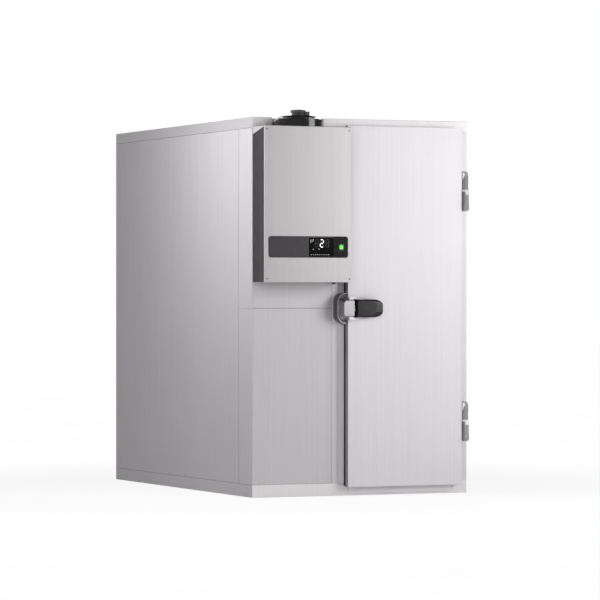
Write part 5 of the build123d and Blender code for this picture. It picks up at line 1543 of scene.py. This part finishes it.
@dataclass
class Fan(Assembly):
    """Condenser fan on the unit: domed ring, wire guard, blades and motor.

    Attributes:
        centre: X and Y of its axis in millimetres.
        base: height of its foot.
        steps: sections round the ring.
        steep_side: direction in which the ring stands upright, as X and Y.
        dome: the ring's outline where it turns over, as radius and height in millimetres.
        steep: its outline where it stands upright, with a thin lip.
        wall: radius beyond which that outline is the upright wall.
    """

    centre: Pair = (264.0, -28.0)
    base: float = 2042.0
    steps: int = 120
    steep_side: Pair = (0.915, -0.404)
    dome: tuple[Pair, ...] = (
        (133, 0.3), (141, 0.3), (141, 22), (139.6, 30), (136.4, 37), (132.6, 42.4),
        (127, 47.8), (118, 53.8), (108, 59), (99, 62), (98.4, 59.4), (106, 56.4),
        (115.6, 51.2), (124.6, 44.4), (132.0, 31.0))
    steep: tuple[Pair, ...] = (
        (133, 0.3), (139.6, 0.3), (139.4, 22), (139.2, 36), (139, 46.4), (141.6, 47.4),
        (141.6, 49.4), (137, 50.4), (118, 53), (99, 56.6), (98.4, 54.4), (110, 51.4),
        (124, 48.4), (133, 46), (133, 31))
    wall: float = 130.0

    def build(self) -> None:
        """Add the fan's pieces."""
        self.ring()
        self.guard()
        self.blades()
        self.motor()
        self.paint(BLACK_PLASTIC, "cable_gland")

    def ring(self) -> None:
        """Add the ring, which turns over to the left and stands upright elsewhere, with a thin lip."""
        x, y = self.centre
        rings = []
        for step in range(self.steps):
            angle = 2 * math.pi * step / self.steps
            out = Vector((math.cos(angle), math.sin(angle)))
            turned = out.dot(Vector(self.steep_side))
            share = min(max((turned + 0.97) / 0.34, 0.0), 1.0)
            share = share * share * (3 - 2 * share)
            drop = 1 - 0.12 * max(turned - 0.55, 0.0) / 0.45
            ring = []
            for (dome, dome_z), (steep, steep_z) in zip(self.dome, self.steep):
                upright_z = steep_z * drop if steep > self.wall else steep_z
                radius, level = dome + (steep - dome) * share, dome_z + (upright_z - dome_z) * share
                ring.append(corner(x + 1.0 + radius * out.x, y + radius * out.y, self.base + level))
            rings.append(ring)
        finished("fan_ring_finished", skinned(rings, looped=True), BLACK_PLASTIC, smooth=45.0,
                 stands_for="fan_ring")

    def guard(self) -> None:
        """Add the wire guard that closes the dome between the ring and the motor."""
        ribs = 12
        wires = repeated(bpy.data.meshes.new("guard_seed"), Layout.GUARD, BLACK_PLASTIC, Rings=9, Ribs=ribs,
                         Turn=(0.0, 0.0, 2 * math.pi / ribs), Inner=43.0 * MM, Outer=101.0 * MM,
                         Rise=6.4 * MM, Wire=1.7 * MM, Centre=tuple(corner(*self.centre, self.base + 60.4)),
                         Tilt=(0.0, 0.0, 0.0))
        cap = lathe(((34, 65), (46, 64.6), (46.5, 67.5), (43, 69.2), (34, 69.4), (34, 65)),
                    (*self.centre, self.base), "Z", 64)
        finished("fan_guard_finished", joined([wires, cap]), BLACK_PLASTIC, smooth=45.0,
                 stands_for="fan_guard")

    def blades(self) -> None:
        """Add the hub and five swept, twisted blades."""
        x, y = self.centre

        def spot(reach: float, turn: float, rise: float) -> Vector:
            """Give a place on the wheel, whose axis stands upright."""
            return corner(x + reach * math.cos(turn), y + reach * math.sin(turn), self.base + 27.0 + rise)

        one = blade((34, 124), (34, 26), 1, spot)
        blades = ringed(one, BLACK_PLASTIC, 5, (x, y, self.base), "Z")
        hub = lathe(((0, 10.2), (30, 10.2), (34.5, 12), (36, 15), (36, 42), (34, 43.8),
                     (0.0, 43.8)), (x, y, self.base), "Z")
        finished("condenser_fan_finished", joined([hub, blades]), BLACK_PLASTIC, Body.CONDENSER_ROTOR,
                 stands_for="condenser_fan")

    def motor(self) -> None:
        """Add the motor, which narrows to its foot, with a terminal box, screws and a light cable clip."""
        x, y = self.centre
        profile = ((0, -7), (36, -7), (37, -5), (38.4, 5), (41.6, 9), (42, 11),
                   (42, 17), (41, 20.6), (38, 22.8), (33.4, 23.4), (32.6, 22), (21.4, 22),
                   (20.6, 24), (18, 25), (12, 25), (10, 23.6), (0, 23.4))
        body = lathe(profile, (x, y, self.base + 76.0), "Z", 72)
        box = block((x + 36, y - 17, self.base + 69.4), (x + 64, y + 17, self.base + 91.8), 4.5, 4)
        finished("fan_motor_finished", joined([body, box]), ENAMEL, smooth=40.0, stands_for="fan_motor")
        screw = lathe(((0, 0), (2.6, 0), (2.6, 1.4), (1.6, 2.2), (0, 2.3)),
                      (x + 27.0, y, self.base + 97.8), "Z", 16)
        finished("fan_motor_screws", ringed(screw, ZINC, 4, (x, y, self.base), "Z"), ZINC)
        clip = block((x - 45.5, y - 9, self.base + 69), (x - 37.6, y + 3, self.base + 83), 1.6, 3)
        finished("fan_cable_clip", clip, LIGHT_PLASTIC)


@dataclass
class FinCoil:
    """Finned coil: end plates, thin fins, tubes through them and bends that join the tubes.

    Attributes:
        node: the CAD node that it replaces.
        low: left, front and bottom of the fins in millimetres.
        high: right, back and top of them.
        plates: bottom and top of the end plates.
        rows: tubes from front to back.
        levels: tubes from bottom to top.
        ends: which ends have bends, -1 for the left one and 1 for the right one.
        step: distance between the fins, drawn a little wider than real so that they show.
        tube: radius of the tubes.
    """

    node: str
    low: Point
    high: Point
    plates: Pair
    rows: int
    levels: int
    ends: tuple[int, ...]
    step: float = 3.6
    tube: float = 5.0

    def build(self) -> None:
        """Add the fins with their plates, and the copper."""
        (left, front, bottom), (right, back, top) = self.low, self.high
        deep, tall = (back - front) / self.rows, (top - bottom) / self.levels
        fin = block((left + 4.0, front, bottom), (left + 4.3, back, top))
        fins = gridded(fin, FIN_METAL, int((right - left - 8) / self.step), (self.step, 0, 0))
        sheets = [block((x, front, self.plates[0]), (x + 2.0, back, self.plates[1]), 0.5, 1)
                  for x in (left, right - 2.0)]
        finished(f"{self.node}_fins", joined([fins, *sheets]), FIN_METAL, stands_for=self.node)
        y, z, rise = front + deep / 2, bottom + tall / 2, (0.0, 0.0, tall)
        tube = lathe(((self.tube, -1.5), (self.tube, right - left + 1.5)), (left, y, z), "X", 16)
        copper = [gridded(tube, COPPER, self.rows, (0.0, deep, 0.0), self.levels, rise)]
        for side in self.ends:
            edge = left - 1.0 if side < 0 else right + 1.0
            turns = [math.pi * step / 10 for step in range(11)]
            bend = pipe([(edge + side * deep * 0.42 * math.sin(turn), y + deep / 2 * (1 - math.cos(turn)), z)
                         for turn in turns], self.tube)
            copper.append(gridded(bend, COPPER, self.rows // 2, (0.0, 2 * deep, 0.0), self.levels, rise))
        finished(f"{self.node}_tubes", joined(copper), COPPER)


@dataclass
class AirCooler(Assembly):
    """Air cooler under the ceiling inside the room: housing, coil, fan, guard, motor and drip tray.

    Attributes:
        axis: X and Z of the fan's axis in millimetres.
        back: Y of the housing's face with the fan opening.
    """

    axis: Pair = (275.0, 1912.0)
    back: float = 445.0

    def build(self) -> None:
        """Add the cooler's pieces."""
        for node, finish in (("evaporator_housing", SIDE_STEEL), ("insulated_plug", SIDE_STEEL),
                             ("drip_tray", WHITE_PLASTIC)):
            self.soften(node, 0.7, finish, segments=1, shortest=60.0)
        FinCoil("evaporator_coil", (118, 240, 1815), (432, 360, 2015), (1801.5, 2038.5), 4, 6,
                (-1, 1)).build()
        self.fan()
        self.guard()
        self.motor()
        self.screws()

    def fan(self) -> None:
        """Add the fan wheel with its hub."""
        x, z = self.axis

        def spot(reach: float, turn: float, rise: float) -> Vector:
            """Give a place on the wheel, whose axis runs to the back."""
            return corner(x + reach * math.cos(turn), self.back - 23.0 + rise, z + reach * math.sin(turn))

        blades = ringed(blade((30, 87), (24, 14), 0.55, spot), BLACK_PLASTIC, 5, (x, 0, z), "Y")
        hub = lathe(((4, 0.4), (28, 0.4), (31.4, 3), (32, 6), (32, 24), (30, 25.8),
                     (4.0, 25.8)), (x, self.back - 36.0, z), "Y", 40)
        finished("cooler_fan_finished", joined([hub, blades]), BLACK_PLASTIC, Body.COOLER_ROTOR,
                 stands_for="evaporator_fan")

    def guard(self) -> None:
        """Add the wire guard on a pressed rim."""
        x, z = self.axis
        wires = repeated(bpy.data.meshes.new("guard_seed"), Layout.GUARD, BLACK_PLASTIC, Rings=8, Ribs=8,
                         Turn=(0.0, 0.0, math.pi / 4), Inner=33.0 * MM, Outer=95.0 * MM, Rise=0.2 * MM,
                         Wire=1.1 * MM, Centre=tuple(corner(x, self.back + 1.2, z)),
                         Tilt=(-math.pi / 2, 0.0, 0.0))
        rim = lathe(((93, 0), (98, 0), (98, 1.2), (97, 2), (94, 2), (93, 1.2),
                     (93.0, 0.0)), (x, self.back, z), "Y", 72)
        finished("cooler_guard_finished", joined([wires, rim]), BLACK_PLASTIC, smooth=45.0,
                 stands_for="evaporator_guard")

    def motor(self) -> None:
        """Add the ribbed motor that the guard carries."""
        x, z = self.axis
        ribs = [point for step in range(5) for point in (
            (32, 7 + 4 * step), (30.6, 7.4 + 4 * step), (30.6, 9.4 + 4 * step),
            (32.0, 9.8 + 4.0 * step))]
        profile = [(0, 0), (37, 0), (37.6, 1), (37.6, 3), (32, 3.4), *ribs, (32, 28),
                   (30, 31.6), (26, 33.6), (11, 34), (9, 32.6), (0, 32.4)]
        shaft = lathe(((3.9, 0.0), (3.9, 38.0)), (x, self.back - 35.5, z), "Y", 20)
        finished("cooler_motor_finished", joined([lathe(profile, (x, self.back + 2.0, z), "Y", 56), shaft]),
                 ENAMEL, smooth=40.0, stands_for="evaporator_motor")

    def screws(self) -> None:
        """Add the screws that hold the guard's rim."""
        x, z = self.axis
        screw = lathe(((0, 2), (2.2, 1.9), (3.4, 1), (3.6, 0), (0, 0)),
                      (x + 90.0, self.back + 1.0, z), "Y", 14)
        finished("cooler_guard_screws", ringed(screw, ZINC, 4, (x, 0.0, z), "Y"), ZINC)


@dataclass
class MachineBay(Assembly):
    """What the unit hides: condenser coil, compressor, drier, pipes and tray.

    Attributes:
        compressor: X, Y and Z of the middle of the compressor's foot in millimetres.
        bolt_reach: how far its foot bolts stand from that middle, along X and Y.
        drier_end: X, Y and Z of the drier's lower end.
    """

    compressor: Point = (120, -80, 1203)
    bolt_reach: float = 58.0
    drier_end: Point = (340, -110, 1558)

    def build(self) -> None:
        """Add the bay's pieces."""
        FinCoil("condenser_coil", (125, -150, 1935), (425, 105, 1995), (1935, 2040), 8, 2,
                (1,)).build()
        self.paint(ENAMEL, "compressor")
        self.paint(COPPER, "filter_drier", "refrigerant_pipes")
        self.soften("evaporating_tray", 1.0, BLACK_PLASTIC)
        (x, y, z), reach = self.compressor, self.bolt_reach
        seam = lathe(((69.5, 84), (72, 84.4), (72.6, 86), (72, 87.6), (69.5, 88), (69.5, 84)),
                     self.compressor, "Z", 64)
        finished("compressor_weld_seam", seam, ENAMEL)
        cover = block((x + 62, y - 20, z + 100), (x + 90, y + 20, z + 150), 3)
        finished("compressor_terminal_cover", cover, BLACK_PLASTIC)
        bolt = lathe(((0, 9.4), (3.2, 9.2), (4.4, 8), (4.4, 3.4), (8, 3), (8, 1.6), (0, 1.6)),
                     (x - reach, y - reach, z + 1.0), "Z", 12)
        bolts = gridded(bolt, ZINC, 2, (2 * reach, 0, 0), 2, (0, 2 * reach, 0))
        finished("compressor_foot_bolts", bolts, ZINC)
        collar = lathe(((4.2, 0.0), (6.6, 0.4), (7.4, 2.6), (6.4, 5.4), (4.2, 9.0)), self.drier_end, "Z", 20)
        finished("drier_solder_collar", collar, COPPER)


@dataclass
class Room(Assembly):
    """Insulated panels with their joints, floor, cam locks and ceiling lamp.

    Attributes:
        groove: width of each panel's rounded edge in millimetres, which makes the joint lines.
        roof_joint: height of the joint under the ceiling panels.
        floor_joint: height of the joint over the floor panel.
        panel: thickness of the panels.
        wall_joint: Y of the joint between the left wall and the corner panel.
        ceiling_joint: Y of the joint between the ceiling panels.
        corner_joint: height of the joint between the corner panel's halves.
        corner_right: X of the corner panel's right edge.
        tread_start: X and Y of the first lozenge on the floor.
        tread_step: distance between lozenges.
        tread_size: width and depth of the field of lozenges, and a lozenge's length.
        tread_levels: height of a lozenge's foot and of its top.
    """

    groove: float = 2.2
    roof_joint: float = 2040.0
    floor_joint: float = 70.0
    panel: float = 60.0
    wall_joint: float = 190.0
    ceiling_joint: float = 1000.0
    corner_joint: float = 1045.0
    corner_right: float = 483.0
    tread_start: Pair = (78.0, 78.0)
    tread_step: float = 27.0
    tread_size: Point = (1180, 1975, 14)
    tread_levels: Pair = (72.0, 72.9)

    def build(self) -> None:
        """Add the pieces and paint the nodes that stay."""
        for finish, side, nodes in (
                (SIDE_STEEL, None, ("wall_panel_left", "wall_panel_right", "wall_panel_rear")),
                (HEAD_STEEL, ROOF_STEEL, ("ceiling_panel_front", "ceiling_panel_rear")),
                (FRONT_STEEL, EDGE_STEEL, ("corner_panel_lower", "corner_panel_upper")),
                (DOOR_STEEL, None, ("door_post_left", "door_post_right")),
                (HEAD_STEEL, None, ("door_header",)), (HEAD_STEEL, SIDE_STEEL, ("floor_panel",))):
            for node in nodes:
                piece = self.soften(node, self.groove, finish, shortest=50.0)
                # Faces turned left, back or up take the second finish: lit and shaded copies of one sheet,
                # the front's painted light and the side's painted shade
                if side:
                    dress_faces(piece, (side,),
                                lambda face: int(face.normal.x < -0.5 or face.normal.y > -0.5))
        self.paint(FRAME_GREY, "door_frame")
        self.paint(THRESHOLD_STEEL, "threshold_plate")
        self.paint(TREAD_METAL, "floor_tread")
        self.paint(ZINC, "cam_locks")
        self.paint(WHITE_PLASTIC, "cam_lock_caps", "lamp_base")
        self.paint(OpalGlass("opal_glass", "milk_glass", "f1f0ea"), "lamp_globe")
        self.tread()
        self.joints()

    def joints(self) -> None:
        """Add the sealant, which lies a little below the surface in the grooves between the panels."""
        right, back = 2 * HALF_WIDTH, 2 * HALF_DEPTH
        foot, head, top = self.floor_joint + 2.0, self.roof_joint - 2.0, self.roof_joint + self.panel
        wall, roof, front, seam = self.wall_joint, self.ceiling_joint, self.corner_joint, self.corner_right
        strips = []
        for z, half in ((self.roof_joint, 1.6), (self.floor_joint, 1.0)):
            for low, high in (((0.6, 2), (3, back - 2)), ((2, back - 3), (right - 2, back - 0.6)),
                              ((right - 2, 2), (right - 0.6, back - 2))):
                strips.append(block((*low, z - half), (*high, z + half), 0.1))
        strips.append(block((0.3, wall - 1.9, foot), (3.0, wall + 1.9, head), 0.1))
        for low, high in (((1.1, roof - 1, self.roof_joint + 2), (3, roof + 1, top - 2)),
                          ((2, roof - 1, top - 3), (right - 2, roof + 1, top - 1.1)),
                          ((2, 1.1, front - 1), (seam - 2, 3, front + 1)),
                          ((seam - 0.8, 1.1, foot), (seam + 0.8, 3.0, head)),
                          ((2, 0.9, self.floor_joint - 1.1), (549, 3, self.floor_joint + 1.1))):
            strips.append(block(low, high))
        finished("panel_joint_sealant", joined(strips), SEALANT)

    def tread(self) -> None:
        """Add the raised lozenges of the tread sheet, in two directions by turns."""
        width, depth, across = self.tread_size
        foot, top = self.tread_levels
        step = self.tread_step
        shapes = []
        for turn, shift in ((1, 0.0), (-1, step)):
            x, y = self.tread_start[0] + shift, self.tread_start[1]
            rings = []
            for level, share in ((foot, 1.0), (top, 0.62)):
                long, thin = across * share, across * share * 0.26
                rings.append((level, [(x + turn * u * long - v * thin, y + u * long + turn * v * thin)
                                      for u, v in ((-0.7, 0), (0, -0.7), (0.7, 0), (0, 0.7))]))
            shapes.append(gridded(loft(rings, "XY"), TREAD_METAL, int(width / (2 * step)),
                                  (2 * step, 0, 0), int(depth / step), (0, step, 0)))
        finished("floor_tread_lozenges", joined(shapes), TREAD_METAL, smooth=20.0)


@dataclass(frozen=True)
class Softbox:
    """One rectangular studio lamp.

    Attributes:
        name: the lamp's name.
        place: where it stands, in metres in the shared frame.
        aim: the point that it faces, in metres.
        size: width and height in metres.
        watts: its power.
        mirrored: whether glossy surfaces show it.
    """

    name: str
    place: Point
    aim: Point
    size: Pair
    watts: float
    mirrored: bool = True

    def build(self) -> None:
        """Add the lamp to the scene."""
        lamp = bpy.data.lights.new(self.name, "AREA")
        lamp.shape = "RECTANGLE"
        lamp.size, lamp.size_y = self.size
        lamp.energy = self.watts
        carrier = linked(self.name, lamp)
        carrier.location = self.place
        carrier.visible_glossy = self.mirrored
        carrier.rotation_euler = (Vector(self.aim) - Vector(self.place)).to_track_quat("-Z", "Y").to_euler()


@dataclass
class Studio:
    """White surroundings, pale floor, soft lamps and the camera of the photograph.

    Attributes:
        lens: focal length in millimetres on a 36 mm sensor.
        eye: the camera's place in metres.
        yaw: the camera's turn from +Y towards +X, in degrees.
        ambient: strength of the surroundings on matt surfaces.
        hall: shade of the studio in front of the object, as metal shows it.
        shadow: radii in metres over which the floor turns from the shadow's surroundings to white.
        lamps: the lamps.
    """

    lens: float = 202.2
    eye: Point = (-7.915, -18.154, 1.0904)
    yaw: float = 23.811
    ambient: float = 0.15
    hall: float = 0.15
    shadow: Pair = (1.3, 3.5)
    lamps: tuple[Softbox, ...] = (
        Softbox("side_strip", (-2.0, -0.9, 2.35), (-0.66, -0.9, 2.1), (0.6, 1.7), 55.0, False),
        Softbox("front_right", (2.7, -4.5, 2.1), (0.2, -1.06, 1.2), (2.4, 2.4), 79.0),
        Softbox("front_left", (-2.5, -5.0, 2.2), (0.0, -1.06, 1.2), (2.0, 2.0), 80.0, False),
        Softbox("floor_glow", (1.4, -2.6, 0.3), (0.45, -1.06, 0.1), (1.2, 0.3), 4.0, False),
        Softbox("top", (0.0, 0.0, 5.0), (0.0, 0.0, 0.0), (3.2, 3.2), 35.0),
        Softbox("back_right", (3.0, 4.5, 3.0), (0.3, 0.6, 1.0), (2.4, 2.4), 60.0),
    )

    def build(self) -> None:
        """Add everything to the scene."""
        scene = bpy.context.scene
        scene.view_settings.view_transform = "Standard"
        camera = bpy.data.cameras.new("photo_camera")
        camera.lens = self.lens
        camera.sensor_width = 36.0
        camera.clip_end = 200.0
        carrier = linked("photo_camera", camera)
        carrier.location = self.eye
        carrier.rotation_euler = (math.radians(90), 0, -math.radians(self.yaw))
        scene.camera = carrier
        for lamp in self.lamps:
            lamp.build()
        self.surroundings()
        self.floor()

    def surroundings(self) -> None:
        """Make the world: white behind the object, a softer hall before it, dim light on matt surfaces."""
        world = bpy.data.worlds.new("studio")
        bpy.context.scene.world = world
        world.use_nodes = True
        tree = world.node_tree
        tree.nodes.clear()
        rays = add(tree, "ShaderNodeLightPath").outputs
        way = add(tree, "ShaderNodeTexCoord").outputs["Generated"]
        back = add(tree, "ShaderNodeSeparateXYZ", Vector=way).outputs["Y"]
        behind = faded(tree, back, (0.5, self.hall), (0.88, 1.0))
        seen = maths(tree, "MAXIMUM", rays["Is Camera Ray"], rays["Is Transmission Ray"])
        glossy = combine(tree, self.ambient, behind, rays["Is Glossy Ray"])
        level = combine(tree, glossy, 1.0, seen)
        light = add(tree, "ShaderNodeBackground", Color=(1, 1, 1, 1), Strength=level)
        add(tree, "ShaderNodeOutputWorld", Surface=light.outputs[0])

    def vinyl(self, texture: Texture) -> Socket:
        """Shade the floor: rolled white vinyl that shows the backdrop's white and takes light elsewhere.

        Args:
            texture: the material's tree.

        Returns:
            The shader.
        """
        tree = texture.tree
        cloud = texture.window(texture.grains(even(700.0)), 0.3, 0.7)
        rays = add(tree, "ShaderNodeLightPath").outputs
        matt = add(tree, "ShaderNodeBsdfPrincipled", Base_Color=linear("f4f4f4"), Roughness=0.7)
        white = add(tree, "ShaderNodeEmission", Color=(1, 1, 1, 1), Strength=1.0)
        seen = maths(tree, "MAXIMUM", rays["Is Camera Ray"], rays["Is Glossy Ray"])
        seen = maths(tree, "MAXIMUM", seen, rays["Is Transmission Ray"])
        far = add(tree, "ShaderNodeVectorMath", {"operation": "LENGTH"}, in0=texture.place).outputs["Value"]
        near = faded(tree, far, (self.shadow[0], 0.86), (self.shadow[1], 1.0))
        share = maths(tree, "MULTIPLY", seen, maths(tree, "MULTIPLY", near, ranged(tree, cloud, 0.98, 1.0)))
        return add(tree, "ShaderNodeMixShader", in0=share, in1=matt.outputs[0],
                   in2=white.outputs[0]).outputs[0]

    def floor(self) -> None:
        """Add the wide pale floor, which keeps the object's shadow."""
        work = bmesh.new()
        bmesh.ops.create_grid(work, x_segments=1, y_segments=1, size=60.0)
        mesh = plain_mesh(work)
        mesh.materials.append(node_material("white_vinyl_floor", self.vinyl))
        linked("studio_floor", mesh)


def main() -> None:
    """Build the whole scene."""
    logging.basicConfig(level=logging.INFO, format="%(name)s: %(message)s")
    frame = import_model()
    known = set(bpy.data.objects)
    for assembly in (Room(frame), Latch(frame), Door(frame), Hinges(frame), UnitBody(frame),
                     ControlPanel(frame), Fan(frame), MachineBay(frame), AirCooler(frame)):
        assembly.build()
        pieces = [piece for piece in bpy.data.objects if piece not in known]
        known.update(pieces)
        for piece in pieces:
            LOG.info("%s: %s with %d faces", type(assembly).__name__, piece.name, len(piece.data.polygons))
    Studio().build()


if __name__ == "__main__":
    main()
